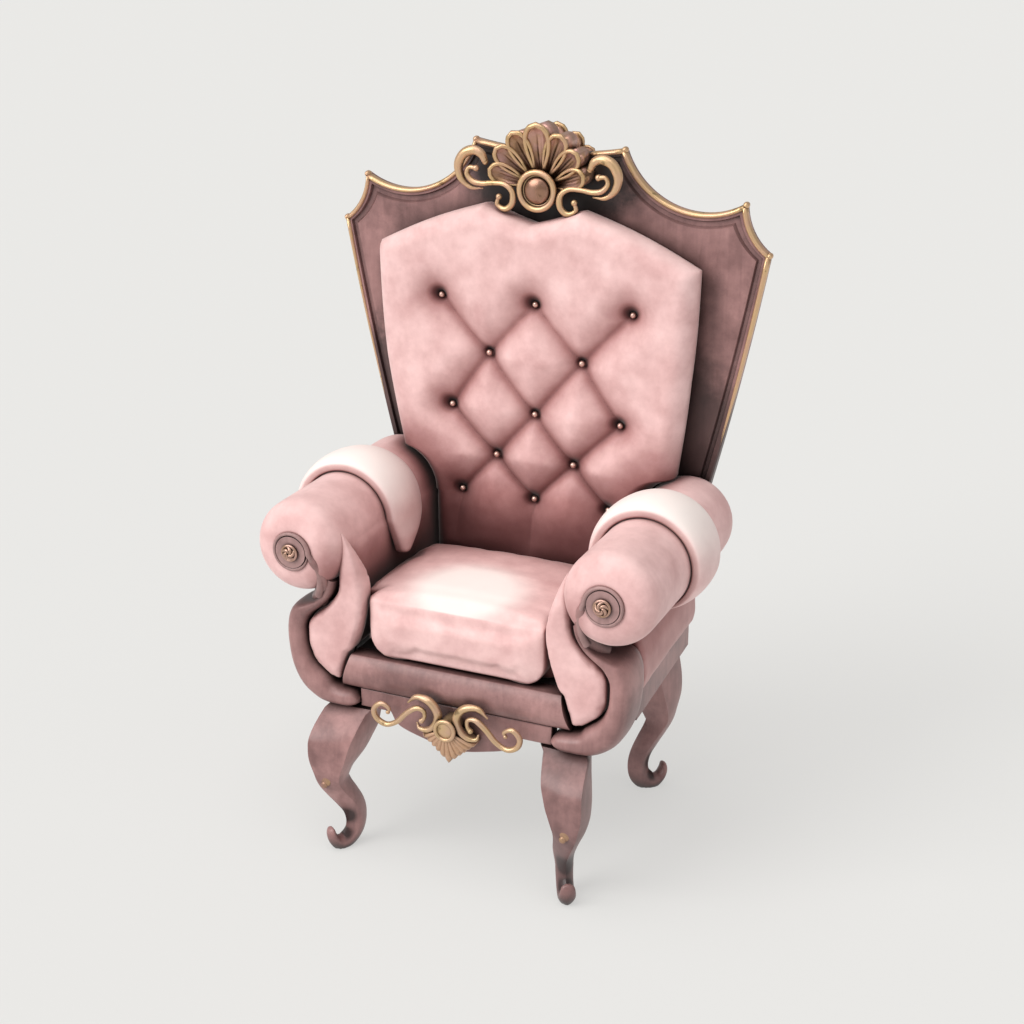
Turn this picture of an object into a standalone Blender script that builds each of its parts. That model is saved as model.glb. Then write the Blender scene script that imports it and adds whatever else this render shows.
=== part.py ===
"""Upholstered throne in metres, +Z up, front towards -Y, origin on the floor under the middle of its box.

Left and right are as seen from the front.
"""

from math import cos, hypot, pi, radians, sin

import bmesh
import bpy

# Overall sizes
DEPTH = 0.625
CLEARANCE = 0.0003

# Seat frame
RAIL_BOTTOM = 0.386
RAIL_HEIGHT = 0.075
RAIL_THICKNESS = 0.040
RAIL_SWELL = 0.014
RAIL_SET_BACK = 0.071
SIDE_RAIL_HEIGHT = 0.059
SIDE_RAIL_THICKNESS = 0.072
DECK_THICKNESS = 0.016
APRON_DROP = 0.043
APRON_CENTRE_DROP = 0.106
APRON_THICKNESS = 0.030
SEAT_HALF_WIDTH = 0.240
CUSHION_THICKNESS = 0.160
CUSHION_SET_BACK = 0.083
CUSHION_NOTCH = 0.032

# Arms
ROLL_OUT = 0.105
ARM_RISE = 0.0734
ROLL_RADIUS = 0.100
ROLL_DOME = 0.040
ROLL_SIDES = 24
ARM_GAP = 0.001
ARM_WALL = 0.095
SLEEVE_LENGTH = 0.160
SLEEVE_LIP = 0.008
SLEEVE_CROWN = 0.032
SLEEVE_FRONT = 0.250
SLEEVE_TUCK = 0.0046
VOLUTE_RADIUS = 0.045
VOLUTE_THICKNESS = 0.014
NECK_HALF_WIDTH = 0.0135
ROSETTE_RADIUS = 0.026
ROSETTE_RISE = 0.009
POST_BOTTOM = 0.336
POST_DEPTH = 0.118
POST_END_IN = 0.0195
POST_FRONT = 0.050
FACING_THICKNESS = 0.050
SIDE_PANEL_SWELL = 0.047
SIDE_TAPER = 0.020

# Back
FRAME_THICKNESS = 0.022
FRAME_SET_IN = 0.0463
BACK_HEIGHT = 1.473
HORN_INNER = (SEAT_HALF_WIDTH - 0.070, BACK_HEIGHT)
HORN_OUTER = (SEAT_HALF_WIDTH + 0.194, BACK_HEIGHT - 0.092)
CORNER = (SEAT_HALF_WIDTH + 0.248, BACK_HEIGHT - 0.194)
FRAME_FOOT = (SEAT_HALF_WIDTH + 0.035, RAIL_BOTTOM)
HORN_DIP = 0.017
PANEL_THICKNESS = 0.026
PANEL_DROP = 0.100
PANEL_BORDER = 0.030
TRIM_WIDTH = 0.012
TRIM_RISE = 0.010
PAD_THICKNESS = 0.074
PAD_CROWN = 0.016
PAD_PEAK = (SEAT_HALF_WIDTH - 0.118, BACK_HEIGHT - 0.122)
PAD_CORNER = (SEAT_HALF_WIDTH + 0.127, BACK_HEIGHT - 0.226)
PAD_DIP = BACK_HEIGHT - 0.157
PAD_WAIST_OUT = 0.0815
PAD_WAIST_SHARE = 0.431
PAD_COLUMNS = 10
PAD_ROWS = 12
PIT_DEPTH = 0.030
PIT_RADIUS = 0.034
BUTTON_RADIUS = 0.009
BUTTON_ROWS = (
    (0.8689, 0.9208, 3), (0.7186, 0.4500, 2), (0.5569, 0.8250, 3),
    (0.4245, 0.3792, 2), (0.3074, 0.7292, 3),
)

# Gilt mounts
CREST_DROP = 0.088
CREST_DEPTH = 0.073
SHELL_RADIUS = 0.137
REAR_SHELL_SHARE = 0.90
BOSS_RADIUS = 0.047
SHELL_THICKNESS = 0.029
SHELL_LOBES = 7
LOBE_CREST = sin(pi / 3)
APRON_MOUNT_DROP = 0.029
APRON_MOUNT_DEPTH = 0.052
APRON_SHELL_RADIUS = 0.087
APRON_BOSS_RADIUS = 0.028
LEG_MOUNT_HEIGHT = 0.184
LEG_MOUNT_RISE = 0.008
MOUNT_REACH = 0.029

# Legs
FOOT_OUT = 0.024
FOOT_FRONT_Y = 0.051
FOOT_REAR_Y = 0.0502
FOOT_FLAT = 0.006
LEG_SIDES = 10
TOP_STATIONS = 7
LEG_MOUNT_OUT = 0.017
LEG_MOUNT_HALF_WIDTH = 0.014
LEG_MOUNT_HALF_HEIGHT = 0.021

# Places worked out from the sizes
FRONT_Y = -DEPTH / 2
REAR_Y = DEPTH / 2
FRAME_REAR_Y = REAR_Y - FRAME_SET_IN
FRAME_Y = FRAME_REAR_Y - FRAME_THICKNESS
RAIL_TOP = RAIL_BOTTOM + RAIL_HEIGHT
SIDE_RAIL_TOP = RAIL_BOTTOM + SIDE_RAIL_HEIGHT
DECK_Z = SIDE_RAIL_TOP + CLEARANCE
SEAT_LEVEL = DECK_Z + DECK_THICKNESS + CLEARANCE
SEAT_TOP = SEAT_LEVEL + CUSHION_THICKNESS
ARM_HEIGHT = SEAT_TOP + ARM_RISE
PAD_WAIST = (SEAT_HALF_WIDTH + PAD_WAIST_OUT, SEAT_LEVEL + (PAD_CORNER[1] - SEAT_LEVEL) * PAD_WAIST_SHARE)
CREST_HEIGHT = BACK_HEIGHT - CREST_DROP
APRON_MOUNT_HEIGHT = RAIL_BOTTOM - APRON_MOUNT_DROP
POST_END_X = SEAT_HALF_WIDTH - POST_END_IN
FOOT_X = SEAT_HALF_WIDTH + FOOT_OUT
RAIL_FRONT_Y = FRONT_Y + RAIL_SET_BACK
CUSHION_Y = FRONT_Y + CUSHION_SET_BACK
RAIL_REAR_FACE_Y = RAIL_FRONT_Y + RAIL_THICKNESS
REAR_RAIL_Y = FRAME_Y - CLEARANCE - RAIL_THICKNESS
ROLL_X = SEAT_HALF_WIDTH + ROLL_OUT
VOLUTE_Y = FRONT_Y + ROSETTE_RISE
VOLUTE_BACK_Y = VOLUTE_Y + VOLUTE_THICKNESS
ROLL_FRONT_Y = VOLUTE_BACK_Y + CLEARANCE
POST_Y = FRONT_Y + POST_FRONT
POST_REAR_Y = POST_Y + POST_DEPTH
FACING_Y = POST_Y + 0.010
FACING_REAR_Y = FACING_Y + FACING_THICKNESS
WALL_OUTER_X = SEAT_HALF_WIDTH + ARM_WALL
PAD_Y = FRAME_Y - CLEARANCE - PAD_THICKNESS

SIDES = ((-1, "left"), (1, "right"))


def finish(name, colour, roughness, metallic=0.0):
    material = bpy.data.materials.new(name)
    material.use_nodes = True
    shader = material.node_tree.nodes["Principled BSDF"]
    shader.inputs["Base Color"].default_value = (*colour, 1.0)
    shader.inputs["Roughness"].default_value = roughness
    shader.inputs["Metallic"].default_value = metallic
    return material


def keep(bm, name, material):
    """Makes the mesh an object of the throne."""
    bmesh.ops.recalc_face_normals(bm, faces=bm.faces)
    mesh = bpy.data.meshes.new(name)
    bm.to_mesh(mesh)
    bm.free()
    mesh.materials.append(material)
    obj = bpy.data.objects.new(name, mesh)
    obj.parent = throne
    bpy.context.scene.collection.objects.link(obj)
    return obj


def helper(obj):
    """A shape that only adds to or cuts another."""
    obj.hide_render = True
    obj.display_type = "WIRE"
    return obj


def combine(obj, other, operation):
    modifier = obj.modifiers.new(other.name, "BOOLEAN")
    modifier.operation = operation
    modifier.object = helper(other)


def arc(start, end, sag, steps):
    """Points from start up to, not including, end on an arc that bulges to the left of the way by sag."""
    (ax, az), (bx, bz) = start, end
    length = hypot(bx - ax, bz - az)
    if abs(sag) < 1e-9:
        return [start]
    nx, nz = (az - bz) / length, (bx - ax) / length
    radius = (length * length / 4 + sag * sag) / (2 * abs(sag))
    points = []
    for step in range(steps):
        t = step / steps
        across = (radius * radius - (length * (t - 0.5)) ** 2) ** 0.5 - (radius - abs(sag))
        across = across if sag > 0 else -across
        points.append((ax + (bx - ax) * t + nx * across, az + (bz - az) * t + nz * across))
    return points


def smooth(points, steps):
    """Points on a smooth curve through all the given ones."""
    ends = [tuple(2 * a - b for a, b in zip(points[0], points[1]))]
    ends += list(points) + [tuple(2 * a - b for a, b in zip(points[-1], points[-2]))]
    found = []
    for i in range(1, len(ends) - 2):
        for step in range(steps):
            t = step / steps
            square, cube = t * t, t ** 3
            found.append(tuple(
                b + 0.5 * ((c - a) * t + (2 * a - 5 * b + 4 * c - d) * square + (3 * b - a - 3 * c + d) * cube)
                for a, b, c, d in zip(ends[i - 1], ends[i], ends[i + 1], ends[i + 2])
            ))
    return found + [tuple(points[-1])]


def mirrored(half):
    """A whole outline from its right half, which runs from the top middle to the bottom middle."""
    return half + [(-x, z) for x, z in reversed(half) if x > 1e-6]


def ribbon(centres, half):
    """Outline of a band of even width along a centre line."""
    left, right = [], []
    for i, (x, z) in enumerate(centres):
        (ax, az), (bx, bz) = centres[max(i - 1, 0)], centres[min(i + 1, len(centres) - 1)]
        length = hypot(bx - ax, bz - az)
        nx, nz = (az - bz) / length, (bx - ax) / length
        left.append((x + nx * half, z + nz * half))
        right.append((x - nx * half, z - nz * half))
    return left + right[::-1]


def grown(outline, amount):
    """The same closed outline with every side moved out by an amount."""
    area = sum(ax * bz - bx * az for (ax, az), (bx, bz) in zip(outline, outline[1:] + outline[:1]))
    outward = amount if area > 0 else -amount
    found = []
    for i, (x, z) in enumerate(outline):
        (ax, az), (bx, bz) = outline[i - 1], outline[(i + 1) % len(outline)]
        first, second = hypot(x - ax, z - az), hypot(bx - x, bz - z)
        nx = (z - az) / first + (bz - z) / second
        nz = (ax - x) / first + (x - bx) / second
        scale = 2 * outward / max(nx * nx + nz * nz, 0.5)
        found.append((x + nx * scale, z + nz * scale))
    return found


def board(bm, outline, y0, y1, side=1):
    """Board cut to an outline in X and Z, from y0 to y1."""
    face = bm.faces.new([bm.verts.new((side * x, y0, z)) for x, z in outline])
    grown = bmesh.ops.extrude_face_region(bm, geom=[face])["geom"]
    moved = [v for v in grown if isinstance(v, bmesh.types.BMVert)]
    bmesh.ops.translate(bm, verts=moved, vec=(0, y1 - y0, 0))


def moulding(bm, profile, x0, x1):
    """Length with this profile in Y and Z, from x0 to x1."""
    face = bm.faces.new([bm.verts.new((x0, y, z)) for y, z in profile])
    grown = bmesh.ops.extrude_face_region(bm, geom=[face])["geom"]
    moved = [v for v in grown if isinstance(v, bmesh.types.BMVert)]
    bmesh.ops.translate(bm, verts=moved, vec=(x1 - x0, 0, 0))


def slab(name, outline, y0, y1, side):
    """A cutter cut to an outline in X and Z."""
    shape = bmesh.new()
    board(shape, outline, y0, y1, side)
    return keep(shape, name, wood)


def box(bm, x0, x1, y0, y1, z0, z1):
    board(bm, [(x0, z0), (x1, z0), (x1, z1), (x0, z1)], y0, y1)


def loft(bm, rings):
    """Skin through rings of as many points each, closed at both ends."""
    made = [[bm.verts.new(point) for point in ring] for ring in rings]
    count = len(made[0])
    for low, high in zip(made, made[1:]):
        for i in range(count):
            j = (i + 1) % count
            bm.faces.new((low[i], low[j], high[j], high[i]))
    bm.faces.new(made[0])
    bm.faces.new(made[-1])


def turned(bm, x, z, profile, sides=24):
    """Turned piece about a line along Y through x and z, from pairs of y and radius."""
    loft(bm, [
        [(x + r * cos(2 * pi * i / sides), y, z + r * sin(2 * pi * i / sides)) for i in range(sides)]
        for y, r in profile
    ])


def rod(name, material, points, radii, sides=6):
    """Round tapered rod along a smooth way."""
    curve = bpy.data.curves.new(name, "CURVE")
    curve.dimensions = "3D"
    curve.bevel_depth = 1.0
    curve.bevel_resolution = max(sides // 2 - 2, 0)
    curve.use_fill_caps = True
    spline = curve.splines.new("POLY")
    spline.points.add(len(points) - 1)
    for point, place, radius in zip(spline.points, points, radii):
        point.co = (*place, 1.0)
        point.radius = radius
    guide = bpy.data.objects.new(name, curve)
    bpy.context.scene.collection.objects.link(guide)
    bpy.context.view_layer.update()
    mesh = bpy.data.meshes.new_from_object(guide.evaluated_get(bpy.context.evaluated_depsgraph_get()))
    bpy.data.objects.remove(guide)
    bm = bmesh.new()
    bm.from_mesh(mesh)
    bpy.data.meshes.remove(mesh)
    bmesh.ops.remove_doubles(bm, verts=bm.verts, dist=1e-5)
    return keep(bm, name, material)


def spiral(x, z, start, turn, outer, inner, pull, steps):
    """Points that wind in from the outer to the inner radius over a turn in degrees."""
    points = []
    for step in range(steps + 1):
        t = step / steps
        radius = outer - (outer - inner) * t ** pull
        angle = radians(start + turn * t)
        points.append((x + radius * cos(angle), z + radius * sin(angle)))
    return points



def shell(bm, x, z, root, radius, lobes, first, last, front, back, down=False):
    """Scalloped shell whose lobes fan out from a boss, ridged in front and flat behind."""
    columns = lobes * 3 + 1
    rings = []
    for share, rise in ((0.0, 0.55), (0.55, 0.85), (0.88, 1.0), (1.0, 0.62)):
        ring = []
        for i in range(columns):
            t = i / (columns - 1)
            lobe = abs(sin(pi * lobes * t))
            angle = radians(first + (last - first) * t)
            full = radius * (0.78 + 0.22 * sin(angle)) * (0.91 + 0.09 * lobe / LOBE_CREST)
            reach = root + (full - root) * share
            depth = (back - front) * rise * (0.70 + 0.30 * lobe / LOBE_CREST)
            turn = -1 if down else 1
            ring.append((x + reach * cos(angle), back - depth, z + turn * reach * sin(angle)))
        rings.append(ring)
    fronts = [[bm.verts.new(point) for point in ring] for ring in rings]
    backs = [[bm.verts.new((px, back, pz)) for px, _, pz in ring] for ring in rings]
    for plane in (fronts, backs):
        for low, high in zip(plane, plane[1:]):
            for i in range(columns - 1):
                bm.faces.new((low[i], low[i + 1], high[i + 1], high[i]))
    for row in (0, -1):
        for i in range(columns - 1):
            bm.faces.new((fronts[row][i], fronts[row][i + 1], backs[row][i + 1], backs[row][i]))
    for column in (0, -1):
        for row in range(len(rings) - 1):
            bm.faces.new((
                fronts[row][column], fronts[row + 1][column], backs[row + 1][column], backs[row][column],
            ))


def boss(bm, x, z, radius, front, back):
    """Ringed round boss with a domed middle."""
    depth = back - front
    turned(bm, x, z, (
        (back, radius),
        (front + depth * 0.30, radius),
        (front + depth * 0.14, radius * 0.92),
        (front + depth * 0.14, radius * 0.78),
        (front + depth * 0.30, radius * 0.70),
        (front + depth * 0.14, radius * 0.52),
        (front, radius * 0.20),
    ), 12)


for old in list(bpy.data.objects):
    bpy.data.objects.remove(old)

throne = bpy.data.objects.new("throne", None)
bpy.context.scene.collection.objects.link(throne)

wood = finish("mauve_stained_wood", (0.16, 0.085, 0.08), 0.42)
velvet = finish("dusty_pink_velvet", (0.53, 0.29, 0.28), 0.85)
gilt = finish("antique_gilt", (0.48, 0.30, 0.13), 0.35, 1.0)
stud_metal = finish("rose_gilt_studs", (0.52, 0.30, 0.24), 0.30, 1.0)
lining = finish("dark_deck_cloth", (0.05, 0.03, 0.03), 0.9)


# Seat rails, deck and apron

rail_half = SEAT_HALF_WIDTH - CLEARANCE


def rail_profile(grow):
    """The front rail's swelled face, its top and its back."""
    height = RAIL_HEIGHT + 2 * grow
    swell = [
        (RAIL_FRONT_Y - grow - RAIL_SWELL * sin(pi * t / 4), RAIL_TOP + grow - height * t / 4)
        for t in range(5)
    ]
    return swell + [(RAIL_REAR_FACE_Y, RAIL_BOTTOM - grow), (RAIL_REAR_FACE_Y, RAIL_TOP + grow)]


bm = bmesh.new()
moulding(bm, rail_profile(0.0), -rail_half, rail_half)
keep(bm, "seat_rail_front", wood)

rail_outer_x = WALL_OUTER_X + SIDE_PANEL_SWELL - 0.015
rail_inner_x = rail_outer_x - SIDE_RAIL_THICKNESS
for side, word in SIDES:
    bm = bmesh.new()
    loft(bm, [
        [(side * x, y, z) for x, z in (
            (rail_inner_x, RAIL_BOTTOM), (outer_x, RAIL_BOTTOM),
            (outer_x, SIDE_RAIL_TOP), (rail_inner_x, SIDE_RAIL_TOP),
        )]
        for outer_x, y in (
            (rail_outer_x, POST_REAR_Y + CLEARANCE), (rail_outer_x - SIDE_TAPER, FRAME_Y - CLEARANCE),
        )
    ])
    keep(bm, f"seat_rail_{word}", wood)
bm = bmesh.new()
rear_half = rail_inner_x - CLEARANCE
box(bm, -rear_half, rear_half, REAR_RAIL_Y, FRAME_Y - CLEARANCE, RAIL_BOTTOM, SIDE_RAIL_TOP)
keep(bm, "seat_rail_rear", wood)

bm = bmesh.new()
box(
    bm, -rail_half, rail_half, RAIL_REAR_FACE_Y + CLEARANCE, FRAME_Y - CLEARANCE,
    DECK_Z, DECK_Z + DECK_THICKNESS,
)
keep(bm, "seat_deck", lining)

apron_half = POST_END_X - CLEARANCE
apron_top = RAIL_BOTTOM - CLEARANCE
apron_end = RAIL_BOTTOM - APRON_DROP
apron_low = RAIL_BOTTOM - APRON_CENTRE_DROP
lower_edge = [(apron_half, apron_end)] + smooth([
    (apron_half * 0.68, apron_end), (apron_half * 0.58, apron_end - 0.030),
    (apron_half * 0.27, apron_low + 0.012), (0.0, apron_low),
], 3)
bm = bmesh.new()
apron_outline = mirrored([(0.0, apron_top), (apron_half, apron_top)] + lower_edge)
board(bm, apron_outline, RAIL_FRONT_Y, RAIL_FRONT_Y + APRON_THICKNESS)
keep(bm, "front_apron", wood)


# Back frame with its horns, gilt edge and covered rear

frame_half = arc((0.0, HORN_INNER[1] - HORN_DIP), HORN_INNER, -0.004, 4)
frame_half += arc(HORN_INNER, HORN_OUTER, -0.067, 8)
frame_half += arc(HORN_OUTER, CORNER, -0.0145, 4)
frame_half += arc(CORNER, FRAME_FOOT, 0.014, 8)
frame_half += [FRAME_FOOT]
bm = bmesh.new()
board(bm, mirrored(frame_half + [(0.0, RAIL_BOTTOM)]), FRAME_Y, FRAME_REAR_Y)
keep(bm, "back_frame", wood)

trim_line = frame_half[4:4 + 8 + 4 + 3]
trim_y = FRAME_Y - CLEARANCE
for side, word in SIDES:
    inset = []
    for i, (x, z) in enumerate(trim_line):
        (ax, az), (bx, bz) = trim_line[max(i - 1, 0)], trim_line[min(i + 1, len(trim_line) - 1)]
        length = hypot(bx - ax, bz - az)
        inset.append((x + (bz - az) / length * TRIM_WIDTH, z - (bx - ax) / length * TRIM_WIDTH))
    bm = bmesh.new()
    board(bm, trim_line + inset[::-1], trim_y - TRIM_RISE, trim_y, side)
    keep(bm, f"back_trim_{word}", gilt)

panel_top = HORN_INNER[1] - PANEL_DROP
panel_foot = (FRAME_FOOT[0] - PANEL_BORDER, SIDE_RAIL_TOP)
panel_half = [(0.0, panel_top), (HORN_INNER[0] + 0.02, panel_top)]
panel_half += [(HORN_OUTER[0] - PANEL_BORDER, HORN_OUTER[1] - 0.08)]
panel_half += arc((CORNER[0] - PANEL_BORDER, CORNER[1] - 0.03), panel_foot, 0.012, 6)
panel_half += [panel_foot, (0.0, SIDE_RAIL_TOP)]
bm = bmesh.new()
board(bm, mirrored(panel_half), FRAME_REAR_Y + CLEARANCE, FRAME_REAR_Y + CLEARANCE + PANEL_THICKNESS)
keep(bm, "outside_back", velvet)


# Buttoned pad of the back

def pad_half_width(z):
    """Half width of the pad at a height, before the arms are cut out of it."""
    t = min(max((z - PAD_WAIST[1]) / (PAD_CORNER[1] - PAD_WAIST[1]), 0.0), 1.0)
    return PAD_WAIST[0] + (PAD_CORNER[0] - PAD_WAIST[0]) * t + 0.012 * sin(pi * t)


def pad_top(x):
    """Height of the pad's top edge: a dip in the middle, a peak each side and a long slope to the corners."""
    across = abs(x)
    if across < PAD_PEAK[0]:
        t = across / PAD_PEAK[0]
        return PAD_DIP + (PAD_PEAK[1] - PAD_DIP) * t ** 1.2
    t = (across - PAD_PEAK[0]) / (PAD_CORNER[0] - PAD_PEAK[0])
    return PAD_PEAK[1] + (PAD_CORNER[1] - PAD_PEAK[1]) * t + 0.008 * sin(pi * min(t, 1.0))


buttons = []
for share, reach, count in BUTTON_ROWS:
    height = SEAT_LEVEL + (PAD_CORNER[1] - SEAT_LEVEL) * share
    for i in range(count):
        buttons.append((SEAT_HALF_WIDTH * reach * (2 * i / (count - 1) - 1), height))
button_seat_y = PAD_Y + PIT_DEPTH - PAD_CROWN

pad_rows = []
for row in range(PAD_ROWS + 1):
    v = row / PAD_ROWS
    level = SEAT_LEVEL + (PAD_CORNER[1] - SEAT_LEVEL) * v
    points = []
    for column in range(PAD_COLUMNS + 1):
        u = 2 * column / PAD_COLUMNS - 1
        x = u * pad_half_width(level)
        z = level + max(pad_top(x) - PAD_CORNER[1], 0.0) * max((v - 0.75) / 0.25, 0.0)
        edge = min(1.0, 6 * (1 - abs(u)), 7 * (1 - v), 7 * v + 0.35)
        y = PAD_Y - PAD_CROWN * edge + 0.022 * (1 - edge) ** 2
        points.append((x, y, z))
    pad_rows.append(points)
bm = bmesh.new()
front_grid = [[bm.verts.new(point) for point in row] for row in pad_rows]
back_grid = [[bm.verts.new((x, FRAME_Y - CLEARANCE, z)) for x, _, z in row] for row in pad_rows]
for low, high in zip(front_grid, front_grid[1:]):
    for i in range(PAD_COLUMNS):
        bm.faces.new((low[i], low[i + 1], high[i + 1], high[i]))
rim_front = front_grid[0] + [row[-1] for row in front_grid[1:-1]] + front_grid[-1][::-1]
rim_front += [row[0] for row in reversed(front_grid[1:-1])]
rim_back = back_grid[0] + [row[-1] for row in back_grid[1:-1]] + back_grid[-1][::-1]
rim_back += [row[0] for row in reversed(back_grid[1:-1])]
for i in range(len(rim_front)):
    j = (i + 1) % len(rim_front)
    bm.faces.new((rim_front[i], rim_front[j], rim_back[j], rim_back[i]))
bm.faces.new(rim_back)
loose = [v for row in back_grid for v in row if not v.link_faces]
bmesh.ops.delete(bm, geom=loose, context="VERTS")
pad = keep(bm, "back_pad", velvet)

pits = bmesh.new()
for x, z in buttons:
    turned(pits, x, z, (
        (PAD_Y - PAD_CROWN - 0.003, PIT_RADIUS),
        (button_seat_y - BUTTON_RADIUS, BUTTON_RADIUS + 0.002),
        (button_seat_y, BUTTON_RADIUS + 0.001),
    ), 6)
combine(pad, keep(pits, "button_pits", velvet), "DIFFERENCE")
for side, word in SIDES:
    arm_space = bmesh.new()
    turned(arm_space, side * ROLL_X, ARM_HEIGHT, (
        (PAD_Y - 0.1, ROLL_RADIUS + ARM_GAP), (FRAME_Y + 0.01, ROLL_RADIUS + ARM_GAP),
    ), ROLL_SIDES)
    combine(pad, keep(arm_space, f"roll_space_{word}", velvet), "DIFFERENCE")
    arm_space = bmesh.new()
    box(
        arm_space, side * (SEAT_HALF_WIDTH - CLEARANCE), side * (ROLL_X + ROLL_RADIUS),
        PAD_Y - 0.1, FRAME_Y + 0.01, RAIL_BOTTOM, ARM_HEIGHT + 0.01,
    )
    combine(pad, keep(arm_space, f"wall_space_{word}", velvet), "DIFFERENCE")
for number, (x, z) in enumerate(buttons, 1):
    bm = bmesh.new()
    turned(bm, x, z, (
        (button_seat_y - CLEARANCE, BUTTON_RADIUS),
        (button_seat_y - CLEARANCE - BUTTON_RADIUS * 0.55, BUTTON_RADIUS * 0.85),
        (button_seat_y - CLEARANCE - BUTTON_RADIUS * 0.95, BUTTON_RADIUS * 0.35),
    ), 6)
    keep(bm, f"back_button_{number}", stud_metal)


# Seat cushion

cushion_rear_y = PAD_Y - PAD_CROWN - CLEARANCE
cushion_rings = []
for share, shrink in ((0.0, 0.022), (0.08, 0.006), (0.25, 0.0), (0.72, 0.0), (0.84, 0.008), (0.88, 0.030)):
    z = SEAT_LEVEL + CUSHION_THICKNESS * share
    half = SEAT_HALF_WIDTH - 0.006 - shrink
    narrow = half - CUSHION_NOTCH
    y0, y1 = CUSHION_Y + shrink, cushion_rear_y - shrink
    outline = [(narrow, y0), (narrow, FACING_REAR_Y + 0.001), (half, FACING_REAR_Y + 0.035), (half, y1)]
    front = [(t / 6 * narrow, y0 - 0.010 * (1 - (t / 6) ** 2)) for t in range(-5, 6)]
    ring = front + outline + [(-x, y) for x, y in reversed(outline)]
    cushion_rings.append([(x, y, z) for x, y in ring])
top = cushion_rings[-1]
middle_y = (CUSHION_Y + cushion_rear_y) / 2
for shrink, share in ((0.72, 0.96), (0.35, 1.0)):
    z = SEAT_LEVEL + CUSHION_THICKNESS * share
    cushion_rings.append([(x * shrink, middle_y + (y - middle_y) * shrink, z) for x, y, _ in top])
bm = bmesh.new()
loft(bm, cushion_rings)
keep(bm, "seat_cushion", velvet)


# Arm posts with their volutes, padded facings and rosettes

def post_place(dx, share):
    """A place on the scroll from its way out from the roll's line and its share of the height."""
    return ROLL_X + dx, POST_BOTTOM + (ARM_HEIGHT - POST_BOTTOM) * share


def placed(points):
    return [post_place(dx, share) for dx, share in points]


OUTER_EDGE = (
    (-0.054, 0.860), (-0.054, 0.810), (-0.045, 0.735), (-0.030, 0.676), (-0.001, 0.640), (0.028, 0.608),
    (0.040, 0.555), (0.045, 0.470), (0.044, 0.360), (0.035, 0.215), (0.013, 0.090), (-0.020, 0.020),
    (-0.050, 0.0),
)
FACING_OUTER = (
    (-0.092, 1.110), (-0.085, 0.950), (-0.080, 0.800), (-0.072, 0.728), (-0.048, 0.641), (-0.020, 0.570),
    (-0.005, 0.507), (-0.003, 0.436), (-0.008, 0.348), (-0.026, 0.262), (-0.062, 0.174),
)
FACING_INNER = (
    (-0.109, 0.361), (-0.118, 0.400), (-0.132, 0.520), (-0.140, 0.650), (-0.141, 0.740), (-0.134, 0.850),
    (-0.117, 1.010), (-0.104, 1.100),
)
FACING_TIP = ((-0.090, 0.190), (-0.104, 0.290), (-0.104, 0.361))
NECK = ((-0.070, 0.700), (-0.068, 0.800), (-0.062, 0.880), (-0.047, 0.945), (-0.030, 0.975))


def band_outline():
    outer = smooth(placed(OUTER_EDGE), 2)
    inner = placed(FACING_OUTER[2:])
    tip = placed([(-0.060, 0.150)]) + [(POST_END_X + 0.005, POST_BOTTOM + 0.044)]
    tip += [(POST_END_X, POST_BOTTOM + 0.030), (POST_END_X, POST_BOTTOM)]
    return inner + tip + outer[::-1]


def backing_outline():
    inner_x = SEAT_HALF_WIDTH + CLEARANCE
    outer = smooth(placed(OUTER_EDGE[1:]), 2)
    inner = [(inner_x, POST_BOTTOM), (inner_x, ARM_HEIGHT - ROLL_RADIUS * 0.5)]
    return inner + [(ROLL_X - 0.056, ARM_HEIGHT - 0.055)] + outer


def post(side, word):
    """The carved post: a band in front, a backing board behind the facing, a neck and the volute on top."""
    pieces = []
    bm = bmesh.new()
    board(bm, band_outline(), POST_Y, POST_REAR_Y, side)
    pieces.append(keep(bm, f"arm_post_{word}", wood))
    bm = bmesh.new()
    board(bm, backing_outline(), FACING_REAR_Y + CLEARANCE, POST_REAR_Y, side)
    pieces.append(keep(bm, f"post_backing_{word}", wood))
    bm = bmesh.new()
    board(bm, ribbon(placed(NECK), NECK_HALF_WIDTH), VOLUTE_BACK_Y - 0.003, FACING_REAR_Y, side)
    pieces.append(keep(bm, f"post_neck_{word}", wood))
    bm = bmesh.new()
    turned(bm, side * ROLL_X, ARM_HEIGHT, (
        (VOLUTE_BACK_Y, VOLUTE_RADIUS), (VOLUTE_Y + 0.004, VOLUTE_RADIUS), (VOLUTE_Y, VOLUTE_RADIUS * 0.9),
        (VOLUTE_Y, ROSETTE_RADIUS + 0.004), (VOLUTE_Y + 0.006, ROSETTE_RADIUS + 0.002),
    ), 16)
    pieces.append(keep(bm, f"post_volute_{word}", wood))
    for extra in pieces[1:]:
        combine(pieces[0], extra, "UNION")


for side, word in SIDES:
    post(side, word)
    bm = bmesh.new()
    rosette_back = VOLUTE_Y + 0.006 - CLEARANCE
    turned(bm, side * ROLL_X, ARM_HEIGHT, (
        (rosette_back, ROSETTE_RADIUS), (rosette_back - 0.006, ROSETTE_RADIUS), (rosette_back - 0.010, 0.018),
        (rosette_back - 0.007, 0.012), (FRONT_Y, 0.006),
    ), 12)
    keep(bm, f"arm_rosette_{word}", gilt)


# Padded facings, arms, sleeves and side panels

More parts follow.
